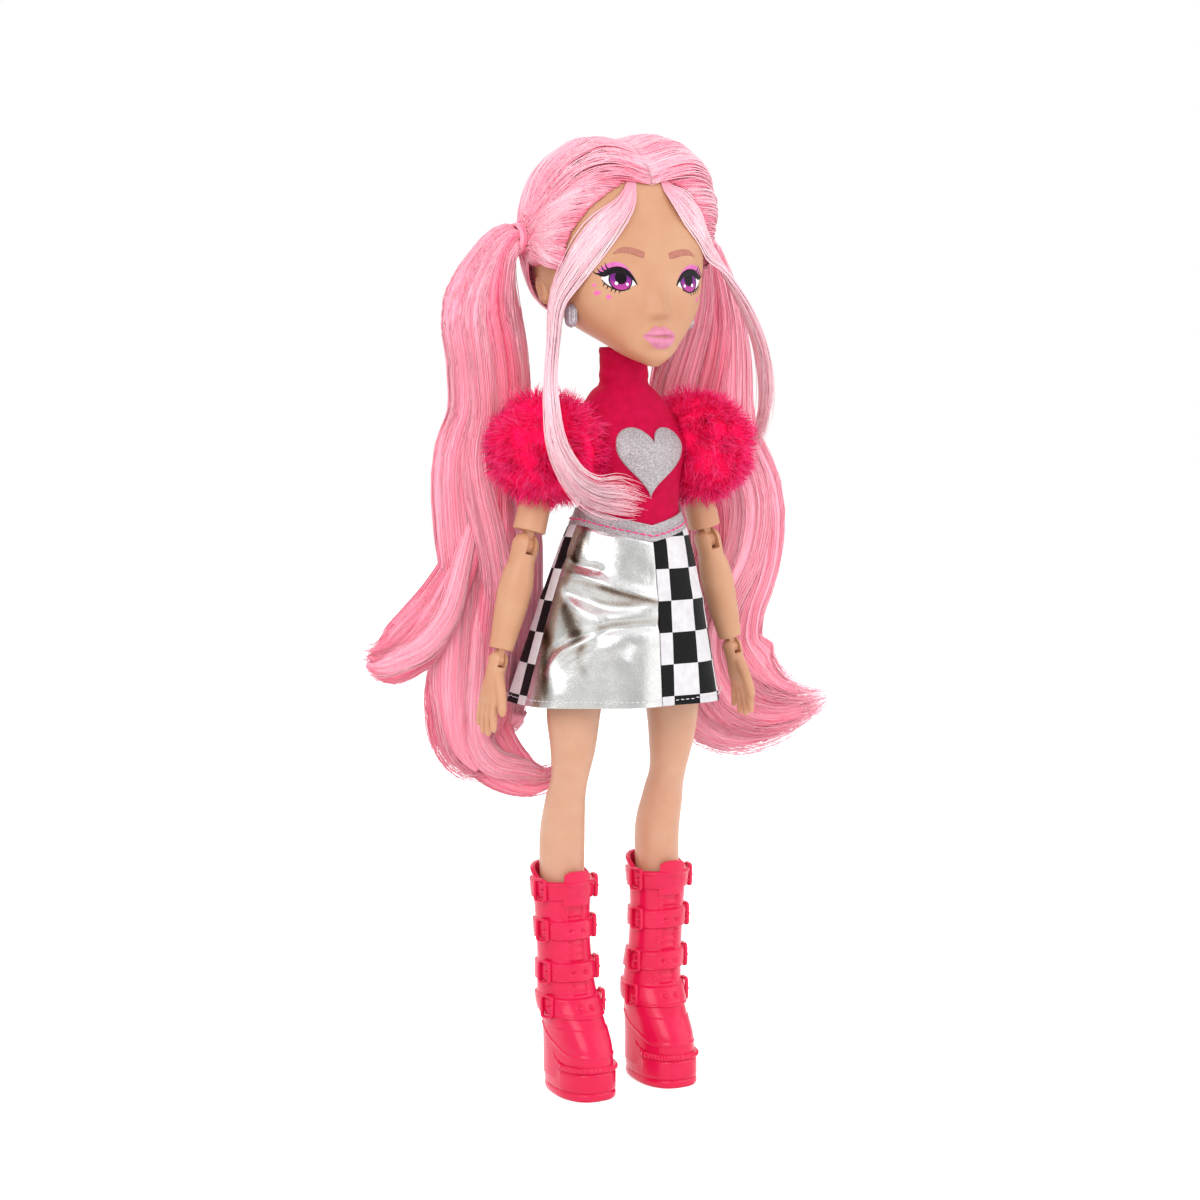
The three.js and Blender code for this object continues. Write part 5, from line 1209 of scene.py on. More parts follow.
def share_at_height(paths, height):
    """The share of each path's length where it first comes below a height."""
    old = np.linspace(0, 1, paths.shape[1])
    height = np.broadcast_to(height, (len(paths),))
    below = paths[..., 2] < height[:, None]
    first = np.argmax(below, axis=1)
    first = np.where(below.any(1), np.maximum(first, 1), paths.shape[1] - 1)
    i = np.arange(len(paths))
    z0, z1 = paths[i, first - 1, 2], paths[i, first, 2]
    part = np.clip((z0 - height) / np.maximum(z0 - z1, 1e-6), 0, 1)
    return old[first - 1] + part * (old[first] - old[first - 1])


def add_core(shape, core, size, across, back, first, last, hidden_end, number, side):
    """The solid middle of one clump between two shares of it; hidden_end is -1, 0 or 1: where it laps."""
    rows = max(8, int((last - first) * 180))
    at, old = np.linspace(first, last, rows), np.linspace(0, 1, len(core))
    line, half, way, deep = (straight(at, old, table) for table in (core, size, across, back))
    hidden = np.ones(rows) if hidden_end == 0 else at - first if hidden_end < 0 else last - at
    slim = (0.55 + 0.45 * ease(hidden / CORE_LAP)) * (1 - 0.65 * ease((at - 0.8) / 0.15))
    half = half * 0.96 * slim[:, None]
    angle = turn(26)
    wave = np.cos(9 * angle[None] + 3 * at[:, None] + number)
    ridge = 1 + 0.035 * wave
    rings = (line[:, None] + (np.cos(angle) * ridge * half[:, :1])[..., None] * way[:, None]
             + (np.sin(angle) * ridge * half[:, 1:])[..., None] * deep[:, None])
    # Cores are painted darker than the hairs over them, lighter on their ridges and darker in their grooves,
    # as shade between the hairs; their tone also differs by clump
    tones = 0.42 + 0.1 * wave + 0.12 * math.sin(number * 2.4)
    shape.loft(mirrored(clear_of_body(rings, 0.25), side)[:, ::side], tone=tones)


def make_pigtail(name, side):
    upper, lower = Shape(), Shape()
    for k, shares in enumerate(pigtail_shares[name]):
        seed = 40 + 7 * k + side
        main = k == 0
        place, size, across, back = locks_of(lock_table(shares, main), 9 if main else 6, 90, seed)
        cores = clear_of_body(place, 0.8)
        paths, tone, ends = hair_paths(place, size, across, back, 2000 if main else 560, seed + 100)
        paths = clear_of_body(paths, 0.3)
        split = share_at_height(cores, SPLIT_HEIGHT)
        for i, core in enumerate(cores):
            lock = core, size[i], across, back
            if main:
                add_core(upper, *lock, 0.0, split[i] + CORE_LAP, 1, i, side)
                add_core(lower, *lock, split[i] - CORE_LAP, CORE_END, -1, i, side)
            else:
                add_core(lower, *lock, 0.0, CORE_END, 0, i, side)
        split = np.zeros(len(paths))
        if main:
            scatter = rng.uniform(-SPLIT_SPREAD, SPLIT_SPREAD, len(paths))
            split = share_at_height(paths, SPLIT_HEIGHT + scatter)
        width = rng.uniform(0.09, 0.17, len(paths))
        if main:
            top = mirrored(cut_paths(paths, np.zeros(len(paths)), split + 0.004, 10), side)
            upper.hairs(top, width, HAIR_TOWARDS, tone, tip=1.0)
        low = mirrored(cut_paths(paths, split, np.maximum(ends, split + 0.02), 26), side)
        lower.hairs(low, width, HAIR_TOWARDS, tone, root=1.0, tip=0.25)
    top = upper.build(f"{name}_pigtail_top", [materials["hair"]])
    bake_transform(top)
    finish_piece(top, None, "hair", f"{name}_pigtail")
    low = lower.build(f"{name}_pigtail_fall", [materials["hair"]])
    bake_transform(low)
    finish_piece(low, None, "hair")


for name, side in SIDES.items():
    make_pigtail(name, side)


# Face-framing tendrils: sections [reach, setback, height, half width, half depth] as shares

TENDRIL_HALF = 2.6
tendril_shares = {
    "right": [
        [0.2, -0.4, 1.08, 0.25, 0.05], [0.28, -0.64, 0.99, 0.5, 0.1], [0.44, -0.74, 0.87, 1.0, 0.4],
        [0.7, -0.6, 0.72, 1.5, 0.5], [0.92, -0.33, 0.52, 1.4, 0.5], [1.04, -0.13, 0.35, 1.0, 0.5],
        [1.08, -0.12, 0.16, 0.75, 0.5], [1.24, -0.36, -0.03, 0.7, 0.5], [1.44, -0.74, -0.22, 0.75, 0.5],
        [1.48, -0.95, -0.42, 0.85, 0.5], [1.3, -1.04, -0.6, 1.1, 0.5], [1.02, -1.08, -0.7, 1.5, 0.6],
        [0.66, -1.06, -0.73, 1.9, 0.6], [0.32, -1.0, -0.76, 1.3, 0.4],
    ],
    "left": [
        [0.12, -0.4, 1.08, 0.25, 0.05], [0.22, -0.66, 0.99, 0.55, 0.1], [0.44, -0.72, 0.9, 1.3, 0.4],
        [0.76, -0.54, 0.77, 1.7, 0.5], [1.06, -0.32, 0.66, 1.8, 0.5], [1.36, -0.24, 0.52, 1.6, 0.5],
        [1.66, -0.2, 0.34, 1.4, 0.5], [1.9, -0.17, 0.12, 1.3, 0.5], [2.0, -0.14, -0.1, 1.2, 0.5],
        [1.98, -0.1, -0.3, 1.0, 0.4], [1.88, 0.0, -0.46, 0.5, 0.3],
    ],
}


def make_tendril(name, side):
    count, steps, cut_steps = 330, 40, 36
    shares = np.array(tendril_shares[name])
    table = np.column_stack([shares[:, 0] * HALF_WIDTH, shares[:, 1] * (FACE_REACH + HAIR_DEEP),
                             CHIN + shares[:, 2] * (HAIRLINE - CHIN), shares[:, 3:] * TENDRIL_HALF])
    chance = np.random.default_rng(90 + side)
    rows = spaced(table, steps)
    middle, along = rows[:, :3], unit(np.gradient(rows[:, :3], axis=0))
    out = unit((middle - (0, 4.0, 0)) * (1, 1, 0))
    side_way = unit(np.cross(along, out))
    out = np.cross(side_way, along)
    t = np.linspace(0, 1, steps)
    across = chance.normal(0, 0.42, count).clip(-1, 1)
    lock = np.round(across * 3.5) / 3.5
    gather = across[:, None] + (lock - across)[:, None] * 0.6 * np.sin(math.pi * t)[None]
    gather = gather * (1 + 0.35 * t[None]) + 0.08 * np.sin(t[None] * 14 + chance.uniform(0, 6, (count, 1)))
    deep = chance.uniform(-1, 1, (count, 1)) * np.sqrt(np.clip(1.1 - across ** 2, 0.05, 1))[:, None]
    paths = (middle[None] + (gather * rows[None, :, 3])[..., None] * side_way[None]
             + (deep * rows[None, :, 4] * 0.8)[..., None] * out[None])
    paths = paths + chance.normal(0, 1.0, (count, 1, 3)) * (t ** 5)[None, :, None] * 0.9
    lift = 0.35 + 0.5 * (np.abs(deep) * ease(t * 4)[None])[..., None]
    paths = clear_of_head(clear_of_puff(paths, 0.2), lift)
    paths = cut_paths(paths, np.zeros(count), chance.uniform(0.86, 1.0, count), cut_steps)
    # Each hair is painted darker towards its root, as shade where it comes out from under the combed hair
    tone = 0.55 + chance.normal(0, 0.12, count) + 0.12 * np.sin(lock * 9)
    tone = tone[:, None] - 0.7 * (1 - ease(np.linspace(0, 1, cut_steps) / 0.28))[None]
    shape = Shape()
    towards = mirrored(paths - HEAD_MIDDLE, side)
    shape.hairs(mirrored(paths, side), chance.uniform(0.13, 0.2, count), towards, tone, root=0.9)
    make_piece(shape, f"{name}_tendril_hair", "head", "pale_hair", f"{name}_tendril", tidy=False)


def make_elastic(name, side):
    """Loops of loose hair and elastic wound round the pigtail's root."""
    wraps = 22
    chance = np.random.default_rng(60 + side)

    def each(low, high):
        return chance.uniform(low, high, (wraps, 1))

    angle = np.linspace(0, 2 * math.pi * 1.04, 40)[None]
    radius = ELASTIC_RADIUS + 0.05 + each(0, 0.5) + 0.1 * np.sin(angle * 3 + each(0, 6))
    x = ROOT[0] + each(1.0, 2.6) + 0.3 * np.sin(angle + each(0, 6))
    around = angle + each(0, 6)
    paths = np.stack([x, ROOT[1] + radius * np.cos(around), ROOT[2] + radius * np.sin(around)], -1)
    shape = Shape()
    width, tone = chance.uniform(0.22, 0.34, wraps), 0.4 + chance.normal(0, 0.15, wraps)
    shape.hairs(mirrored(paths, side), width, (1, 0, 0), tone, sides=6)
    wound = shape.build(f"{name}_elastic_wrap", [materials["hair"]])
    finish_piece(wound, "head", "elastic", f"{name}_hair_elastic")


for name, side in SIDES.items():
    make_tendril(name, side)
    make_elastic(name, side)

# Clothes

CLOTH = 0.6
FIT = 0.3
OVER_BODICE = FIT + CLOTH
WAIST = 162.4
HEM = node_box("skirt_back_checker")[0][2] + 1.6
COLLAR = node_box("bodice")[1][2]
BAND_HIGH, BAND_DIP = 4.4, 4.6
BAND_POINT_DEGREES = 80

# The least length that a sheet's size is measured at
SHEET_LEAST = 10.1

# Torso sections: height, middle, half width, half depth
torso_table = np.array([
    [142.6, 1, 17, 12.4], [151.55, 0, 17, 12.4], [163.5, -1.6, 13.4, 9.4], [180, -1.6, 15.2, 11.6],
    [186, 0, 14.6, 8.6], [192.5, 1, 9.05, 7.1], [195.5, 1, 5.3, 5.3], [204, 1, 5.3, 5.3],
])


def torso_section(z):
    """Middle, half width and half depth: smooth, and never inside the straight-sided shells."""
    heights, rows = torso_table[:, 0], torso_table[:, 1:]
    plain = straight(z, heights, rows)
    _, half, deep = np.moveaxis(np.maximum(curve(z, heights, rows), plain), -1, 0)
    return plain[..., 0], half, deep


def torso_y(x, z, lift, facing):
    """Setback of the torso's front (facing -1) or back (facing 1), lift millimetres off it."""
    middle, half, deep = torso_section(z)
    return middle + facing * (deep + lift) * np.sqrt(np.clip(1 - (x / (half + lift)) ** 2, 0.01, 1))


def longest(lines):
    """The greatest length among every fourth line of points."""
    return max(float(np.linalg.norm(np.diff(line, axis=0), axis=-1).sum()) for line in lines[::4])


def declare_cloth(points):
    """Measures a sheet's flat size over its outer face, points (row, column, xyz); the sizes are not kept."""
    wide, long = (max(longest(lines), SHEET_LEAST) for lines in (points, points.transpose(1, 0, 2)))


def tube_cloth(shape, outer):
    """A closed band of cloth from its outer rings (row, side, xyz)."""
    rows, sides, _ = outer.shape
    ahead = np.roll(outer, -1, axis=1) - np.roll(outer, 1, axis=1)
    out = unit(np.cross(ahead, np.gradient(outer, axis=0)))
    rings = np.concatenate([outer, (outer - out * CLOTH)[::-1]])
    last, around = (2 * rows - 1) * sides, np.arange(sides)
    close = np.stack([last + around, last + (around + 1) % sides, (around + 1) % sides, around], -1)
    shape.add(rings, [grid_faces(2 * rows, sides), close])


def make_bodice():
    z = np.concatenate([np.linspace(150.2, 196, 120), np.linspace(196.3, COLLAR + 3.0, 46)])
    middle, half, deep = torso_section(z)
    collar = 0.25 * ease((z - 195.5) / 3) + 0.2 * bell((z - COLLAR - 2.0) / 0.7)
    collar = collar + 0.9 * bell((z - 194.5) / 2.2)
    grow = OVER_BODICE + 0.2 + collar
    a, h = turn(160)[None], z[:, None]
    waist_folds = 0.16 * np.sin(3 * a + h * 0.55) * bell((h - 166) / 7)
    wrinkle = waist_folds + 0.13 * np.sin(5 * a - h * 0.8) * bell((h - 186) / 7)
    wrinkle = wrinkle + 0.14 * np.sin(2 * a + h * 1.5) * bell((h - 197.5) / 4)
    wrinkle = wrinkle + 0.3 * bell((np.abs(np.cos(a)) - 0.55) / 0.25) * bell((h - 179) / 5) * (np.sin(a) < 0)
    width, depth = (half + grow)[:, None] + wrinkle, (deep + grow)[:, None] + wrinkle
    rings = np.stack([np.cos(a) * width, middle[:, None] + np.sin(a) * depth, h + 0 * a], -1)
    shape = Shape()
    tube_cloth(shape, rings)
    obj = make_piece(shape, "bodice_cloth", "torso", "jersey", "bodice")
    declare_cloth(rings)


def make_heart():
    size, height = 21.0, 176.4
    angle = np.linspace(0, 2 * math.pi, 120, endpoint=False)
    rise = sum(k * np.cos((i + 1) * angle) for i, k in enumerate((13 / 32, -5 / 32, -2 / 32, -1 / 32)))
    outline = np.stack([np.sin(angle) ** 3 / 2 * size, rise * size], -1)
    seat = OVER_BODICE + 0.35
    shares, lifts = (0.1, 0.97, 1.0, 1.0, 0.985, 0.9, 0.7, 0.4, 0.1), (0.0, 0.0, 0.1, 0.4, *[0.5] * 5)
    layers = []
    for share, lift in zip(shares, lifts):
        x, z = outline[:, 0] * share, height + outline[:, 1] * share
        layers.append(np.stack([x, torso_y(x, z, seat + lift, -1), z], -1))
    shape = Shape()
    shape.loft(np.array(layers))
    obj = make_piece(shape, "heart_glitter", "torso", "glitter_cloth", "heart_patch", smooth=50)


def make_closure():
    x, z = np.meshgrid(np.linspace(-2.5, 2.5, 12), np.linspace(WAIST + 1, 190, 50))
    points = np.stack([x, torso_y(x, z, OVER_BODICE + 1.0, 1), z], -1)
    shape = Shape()
    shape.sheet(points[:, ::-1], CLOTH)
    obj = make_piece(shape, "closure_tape", "torso", "closure", "back_closure", smooth=50)
    declare_cloth(points)


def front_point(angle):
    """1 at the front point of the waistband, falling to 0 at the sides."""
    off = np.abs((angle - 1.5 * math.pi + math.pi) % (2 * math.pi) - math.pi)
    return np.clip(1 - off / math.radians(BAND_POINT_DEGREES), 0, 1) ** 1.15


def band_point(angle, rise, lift):
    """A point of the waistband; rise 0 is its lower edge and 1 its upper edge."""
    z = WAIST - BAND_DIP * front_point(angle) - BAND_HIGH * (1 - rise)
    middle, half, deep = torso_section(z)
    grow = 2 * OVER_BODICE + lift
    return np.stack([np.cos(angle) * (half + grow), middle + np.sin(angle) * (deep + grow), z], -1)


def stitches(shape, path, half_width):
    """Short threads along pairs of points (stitch, 2, xyz), bowed off the cloth away from the body axis."""
    t = np.linspace(0, 1, 5)[None, :, None]
    line = path[:, :1] * (1 - t) + path[:, 1:] * t
    out = unit(line * (1, 1, 0))
    line = line + out * 0.12 * np.sin(math.pi * t)
    shape.hairs(line, half_width, out, np.full(len(line), 0.5), 1, sides=6, root=0.6, tip=0.5)


def make_waistband():
    sides, stitch_count = 220, 52
    angle = turn(sides)
    wave = 0.06 * np.sin(7 * angle)
    rises = np.concatenate([np.linspace(0, 0.46, 9), [0.5, 0.54], np.linspace(0.6, 1, 9)])
    lifts = [wave + (0.28 if rise < 0.48 else 0.0) for rise in rises]
    rings = np.array([band_point(angle, np.full(sides, rise), lift) for rise, lift in zip(rises, lifts)])
    shape = Shape()
    tube_cloth(shape, rings)
    start = turn(stitch_count) + 0.02
    ends = ((start, 0.34), (start + 0.098, 0.32))
    pairs = [band_point(a, np.full(stitch_count, rise), 0.36) for a, rise in ends]
    stitches(shape, np.stack(pairs, 1), 0.22)
    obj = make_piece(shape, "waistband_glitter", "torso", "glitter_cloth", "waistband", smooth=50,
                     threads=["thread"])
    declare_cloth(rings)


HEM_WIDE, HEM_DEEP, HEM_BACK = 30.6, 24.0, 5.0
FLARE = 0.85
WAVE = 0.9
STITCH_LINE = 0.965
SQUARE = 8.6
SQUARE_TOP = 154.6

# Where the panels start and end round the skirt, in degrees from the doll's left side
FOIL_PANEL = (186.3, 269.6)
FRONT_CHECKER = (270.4, 353.7)
BACK_CHECKER = (354.3, 545.7)
FOIL_STITCHES = (187, 269)

# Folds of the foil: [across, down] points in shares of the panel, height, width
foil_folds = [
    ([(-0.12, 0.19), (0.22, 0.23), (0.56, 0.245)], -0.85, 0.028),
    ([(0.0, 0.3), (0.3, 0.285), (0.55, 0.31), (0.9, 0.36), (1.2, 0.39)], 1.3, 0.045),
    ([(0.0, 0.35), (0.4, 0.42), (0.62, 0.44), (0.95, 0.42)], -1.2, 0.035),
    ([(-0.06, 0.34), (0.3, 0.45), (0.52, 0.52), (0.46, 0.6), (0.28, 0.7), (0.2, 0.8), (0.36, 0.95)],
     1.2, 0.045),
    ([(0.06, 0.72), (0.4, 0.6), (0.7, 0.545), (0.98, 0.52), (1.2, 0.5)], -1.1, 0.035),
    ([(0.45, 0.7), (0.8, 0.62), (1.2, 0.58)], 0.45, 0.07),
    ([(0.0, 0.62), (0.14, 0.72), (0.1, 0.86)], -0.6, 0.06),
    ([(0.1, 0.08), (0.2, 0.14), (0.12, 0.2)], 0.5, 0.05),
    ([(0.7, 0.12), (0.85, 0.2), (1.0, 0.22)], -0.25, 0.06),
]


def creases(total, across, down, table):
    """Adds ridges along [across, down] points that fade towards their ends."""
    for points, height, width in table:
        line = spaced(np.array(points), 140)
        away = np.hypot(across[..., None] - line[:, 0], (down[..., None] - line[:, 1]) * 1.15)
        along = away.argmin(-1) / (len(line) - 1)
        total = total + height * bell(away.min(-1) / width) * ease(np.minimum(along, 1 - along) / 0.22)
    return total


def foil_fold(across, down):
    """How far the foil stands out by its folds."""
    total = creases(0.25 * np.sin(9 * across + 5 * down) * down, across, down, foil_folds)
    return total * np.sin(np.clip(across, 0.02, 0.98) * math.pi) ** 0.35


def skirt_point(angle, down, lift, fold=0.0):
    """A point of the skirt; down is 0 under the waistband and 1 at the hem."""
    top = WAIST - BAND_DIP * front_point(angle) - BAND_HIGH + 1.3
    z = top + (HEM - top) * down
    middle, half, deep = torso_section(top)
    grow = OVER_BODICE + FIT
    spread = down ** FLARE
    wide = half + grow + (HEM_WIDE - half - grow) * spread
    far = deep + grow + (HEM_DEEP - deep - grow) * spread
    out = lift + WAVE * down ** 2 * np.cos(7 * angle + 0.6) + fold
    y = middle + (HEM_BACK - middle) * down + np.sin(angle) * (far + out)
    return np.stack([np.cos(angle) * (wide + out), y, z], -1)


def panel_grid(panel, columns, rows):
    across, down = np.meshgrid(np.linspace(0, 1, columns), np.linspace(0, 1, rows))
    return across, down, np.radians(panel[0] + (panel[1] - panel[0]) * across)


def tucked(down):
    """How far a panel is pressed in under the waistband."""
    return 0.5 * (1 - ease(down / 0.05))


def checker_map(points, from_end):
    step = np.linalg.norm(np.diff(points, axis=1), axis=-1) / SQUARE
    across = np.concatenate([np.zeros((len(points), 1)), np.cumsum(step, 1)], 1)
    if from_end:
        across = across[:, -1:] - across
    return np.stack([across + 0.5, (SQUARE_TOP - points[..., 2]) / SQUARE + 20], -1)


def hem_stitches(shape, panel, count, lift, ragged=0.0, fold=None):
    start, end = panel
    angle = np.radians(np.linspace(start + 1, end - 1, count))
    step = math.radians((end - start) / count) * 0.62
    down = STITCH_LINE + rng.uniform(-1, 1, count) * ragged
    ends = []
    for a, d in ((angle, down), (angle + step, down + rng.uniform(-1, 1, count) * ragged)):
        ends.append(skirt_point(a, d, lift, fold(a, d) if fold else 0.0))
    stitches(shape, np.stack(ends, 1), 0.12)


# Painted reflections on the foil: darker and brighter places that stand in for what it mirrors, as [across,
# down] points, strength, width
foil_painted_reflections = [
    ([(0.14, -0.06), (0.19, 0.08), (0.16, 0.18), (0.08, 0.28)], -0.62, 0.07),
    ([(0.3, 0.02), (0.34, 0.12), (0.3, 0.22)], 0.3, 0.05),
    ([(0.05, 0.27), (0.3, 0.275), (0.48, 0.29)], -0.35, 0.012),
    ([(0.4, 0.31), (0.75, 0.355), (1.2, 0.4)], -0.3, 0.022),
    ([(0.25, 0.36), (0.5, 0.43), (0.75, 0.44), (0.98, 0.4)], 0.35, 0.02),
    ([(0.12, 0.42), (0.22, 0.5), (0.34, 0.6), (0.38, 0.66)], -0.6, 0.06),
    ([(0.3, 0.44), (0.46, 0.52), (0.36, 0.6)], 0.25, 0.04),
    ([(0.0, 0.52), (0.08, 0.68), (0.15, 0.84), (0.26, 1.02)], -0.6, 0.055),
    ([(0.18, 0.7), (0.26, 0.84), (0.3, 0.95)], 0.35, 0.045),
    ([(0.45, 0.62), (0.4, 0.72), (0.5, 0.84)], -0.2, 0.03),
    ([(0.8, 0.62), (0.74, 0.74)], 0.25, 0.05),
    ([(0.02, 0.1), (0.01, 0.5), (0.02, 0.95)], -0.25, 0.03),
]


def make_foil():
    across, down, angle = panel_grid(FOIL_PANEL, 180, 210)
    points = skirt_point(angle, down, CLOTH, foil_fold(across, down) - tucked(down))
    # The foil's tone is painted reflection: the listed darker and brighter places, lighter where it faces up
    # and darker where it faces down
    way = unit(np.cross(np.gradient(points, axis=0), np.gradient(points, axis=1)))[..., 2]
    tone = creases(np.full(across.shape, 0.7), across, down, foil_painted_reflections) + 0.55 * (way - np.median(way))
    shape = Shape()
    shape.sheet(points, CLOTH * 0.7, tone=np.tile(tone.ravel(), 2))

    def fold(a, d):
        start, end = FOIL_PANEL
        return foil_fold((np.degrees(a) - start) / (end - start), d)

    hem_stitches(shape, FOIL_STITCHES, 30, CLOTH + 0.05, fold=fold)
    obj = make_piece(shape, "skirt_foil_cloth", "torso", "foil_cloth", "skirt_front_foil",
                     threads=["pale_thread"])
    declare_cloth(points)


def make_checker(name, node, panel, columns, seed):
    across, down, angle = panel_grid(panel, columns, 120)
    chance = np.random.default_rng(seed)
    wave = np.sin(np.degrees(angle) / 11 + chance.uniform(0, 6))
    folds = 0.55 * down ** 1.6 * wave * np.sin(across * math.pi) ** 0.5
    folds = folds + 0.3 * bell((down - 0.35 - 0.1 * across) / 0.05) * np.sin(across * math.pi)
    points = skirt_point(angle, down, CLOTH, folds - tucked(down))
    shape = Shape()
    shape.sheet(points, CLOTH * 0.7, where=checker_map(points, panel == BACK_CHECKER))
    hem_stitches(shape, panel, int((panel[1] - panel[0]) / 3.2), CLOTH + 0.7, 0.004)
    obj = make_piece(shape, name, "torso", "checker_cloth", node, threads=["pale_thread"])
    declare_cloth(points)


make_bodice()
make_heart()
make_closure()
make_waistband()
make_foil()
make_checker("skirt_front_squares", "skirt_front_checker", FRONT_CHECKER, 150, 5)
make_checker("skirt_back_squares", "skirt_back_checker", BACK_CHECKER, 320, 6)


# Fur sleeves

def make_fur(name, side):
    """Tufts of fur round a padded ball, those inside the bodice left out."""
    tufts, each, steps, gap, low, high = 620, 11, 6, 1.2, 150, 200
    chance = np.random.default_rng(70 + side)

    def scatter(spread, count=tufts):
        return chance.normal(0, spread, (count, 3))

    def hairs_of(values):
        return np.repeat(values, each, 0)

    way = unit(chance.normal(size=(tufts, 3)))
    lean = scatter(0.13) + (0, 0, -0.1)
    base = unit(hairs_of(way) + scatter(0.09, tufts * each))
    gather = hairs_of(way) * 0.45 + base * 0.55
    tip = unit(gather + hairs_of(lean) + scatter(0.04, tufts * each))
    tip = tip * chance.uniform(0.93, 1.05, (len(base), 1)) * hairs_of(chance.uniform(0.9, 1.1, (tufts, 1)))
    t = np.linspace(0, 1, steps)[None, :, None]
    root = base * 0.72
    middle = (root + tip) / 2 * 1.06
    paths = root[:, None] * (1 - t) ** 2 + 2 * middle[:, None] * t * (1 - t) + tip[:, None] * t ** 2
    paths = PUFF + paths * PUFF_SIZE
    setback, half, deep = torso_section(np.clip(paths[..., 2], low, high))
    flat = np.hypot(paths[..., 0] / (half + gap), (paths[..., 1] - setback) / (deep + gap))
    keep = (flat.min(1) > 0.98) & (paths[..., 0].min(1) > 4)
    paths = paths[keep]
    # Tufts are painted darker at their roots and lighter at their tips, as shade deep in the fur; the rest of
    # their tone differs at random by hair and tuft
    tone = 0.52 + chance.normal(0, 0.1, len(paths)) + hairs_of(chance.normal(0, 0.14, tufts))[keep]
    tone = tone[:, None] + np.linspace(-0.3, 0.22, steps)[None]
    a, b, ball = ball_grid(0.02, 64)
    ball = PUFF + ball * PUFF_SIZE * (0.83 + 0.03 * np.sin(9 * b + 4 * a) * np.sin(a))[..., None]
    setback, half, deep = torso_section(np.clip(ball[..., 2], low, high))
    wall = half * np.sqrt(np.clip(1 - ((ball[..., 1] - setback) / deep) ** 2, 0, 1)) + 1.4
    ball[..., 0] = np.maximum(ball[..., 0], wall)
    shape = Shape()
    # The ball under the tufts is painted dark, as shade beneath them
    shape.loft(mirrored(ball, side), tone=0.3)
    width, towards = chance.uniform(0.08, 0.13, len(paths)), chance.normal(size=(len(paths), 1, 3))
    shape.hairs(mirrored(paths, side), width, towards, tone, tip=0.1)
    obj = make_piece(shape, f"{name}_fur", f"{name}_upper_arm", "fur", f"{name}_fur_sleeve", tidy=False)


for name, side in SIDES.items():
    make_fur(name, side)

# Arms, shaped in their own frame hanging down -z and then tilted outward

ACROSS = np.array([math.cos(ARM_TILT), 0, math.sin(ARM_TILT)])
ELBOW = float(np.linalg.norm(joint_place("left_elbow_bend") - SHOULDER))
WRIST = float(np.linalg.norm(joint_place("left_wrist_bend") - SHOULDER))
UPPER_ARM, SHOULDER_DOME, ELBOW_DOME, WRIST_DOME = 30.9, 4.9, 3.7, 2.75
FOREARM_END = WRIST - ELBOW - WRIST_DOME - FIT
HAND_LONG = 24 - FIT - WRIST_DOME
SNUG = 0.12


def hang(points, distance, side):
    """Points of the hanging frame where they lie on an arm, distance down from the shoulder."""
    points = np.asarray(points, float)
    place = SHOULDER + DOWN * distance + points[..., :1] * ACROSS + points[..., 1:2] * (0, 1, 0)
    return mirrored(place - points[..., 2:] * DOWN, side)


def limb_rings(dome, sections, rows, sides, square_end):
    """A limb below a round dome; sections are [height, half width, half depth]. Its end is bevelled."""
    share = np.sin(np.linspace(0.06, math.pi / 2, 14))[:-1]
    top = np.stack([dome * np.sqrt(1 - share ** 2), dome * share, dome * share], -1)
    body = spaced(np.array([[0, dome, dome], *sections]), rows)
    end = [body[-1] - square_end * np.array(cut) for cut in ((0.7, 0.3, 0.3), (1, 1, 1))]
    table = np.concatenate([top, body, end])
    angle = turn(sides)
    x, y = np.cos(angle) * table[:, 1:2], np.sin(angle) * table[:, 2:3]
    return np.stack([x, y, 0 * angle + table[:, :1]], -1)


BOX_FACES = np.array([[0, 1, 3, 2], [4, 6, 7, 5], [0, 4, 5, 1], [2, 3, 7, 6], [0, 2, 6, 4], [1, 5, 7, 3]])
EDGE_DEGREES = 38


def carve(obj, low, high, place):
    """Cuts a box from a piece; low and high are its corners before they are placed."""
    ends = list(zip(low, high))
    corners = np.array([[x, y, z] for x in ends[0] for y in ends[1] for z in ends[2]])
    shape = Shape()
    shape.add(place(corners), [BOX_FACES])
    cutter = shape.build("cutter", [], tidy=True)
    apply_modifier(obj, "BOOLEAN", operation="DIFFERENCE", solver="EXACT", object=cutter)
    bpy.data.objects.remove(cutter)
    shade_smooth(obj.data)
    obj.data.set_sharp_from_angle(angle=math.radians(EDGE_DEGREES))


def carve_slot(obj, half, radius, dome, place, back_open=False):
    """Cuts the slot that takes a hinge tongue, open in front and on top."""
    reach = dome + 2
    half, radius = half + SNUG, radius + SNUG
    carve(obj, (-half, -reach, -radius), (half, reach if back_open else radius, reach), place)


def make_upper_arm(name, side):
    sections = [[-UPPER_ARM * share, half, half] for share, half in ((0.28, 4.66), (0.65, 4.3), (0.9, 4.42))]
    sections.append([-UPPER_ARM + 0.35, 4.5, 4.5])
    shape = Shape()
    shape.loft(hang(limb_rings(SHOULDER_DOME, sections, 50, 64, 0.35), 0, side))
    obj = shape.build(f"{name}_upper_arm_skin", [materials["skin"]], EDGE_DEGREES, tidy=True)
    carve(obj, (-1.8, -3.4, -3.4), (1.8, 7.0, 7.0),
          lambda p: hang(np.stack([-p[:, 1], p[:, 0], p[:, 2]], -1), 0, side))
    finish_piece(obj, f"{name}_upper_arm", "skin", f"{name}_upper_arm")


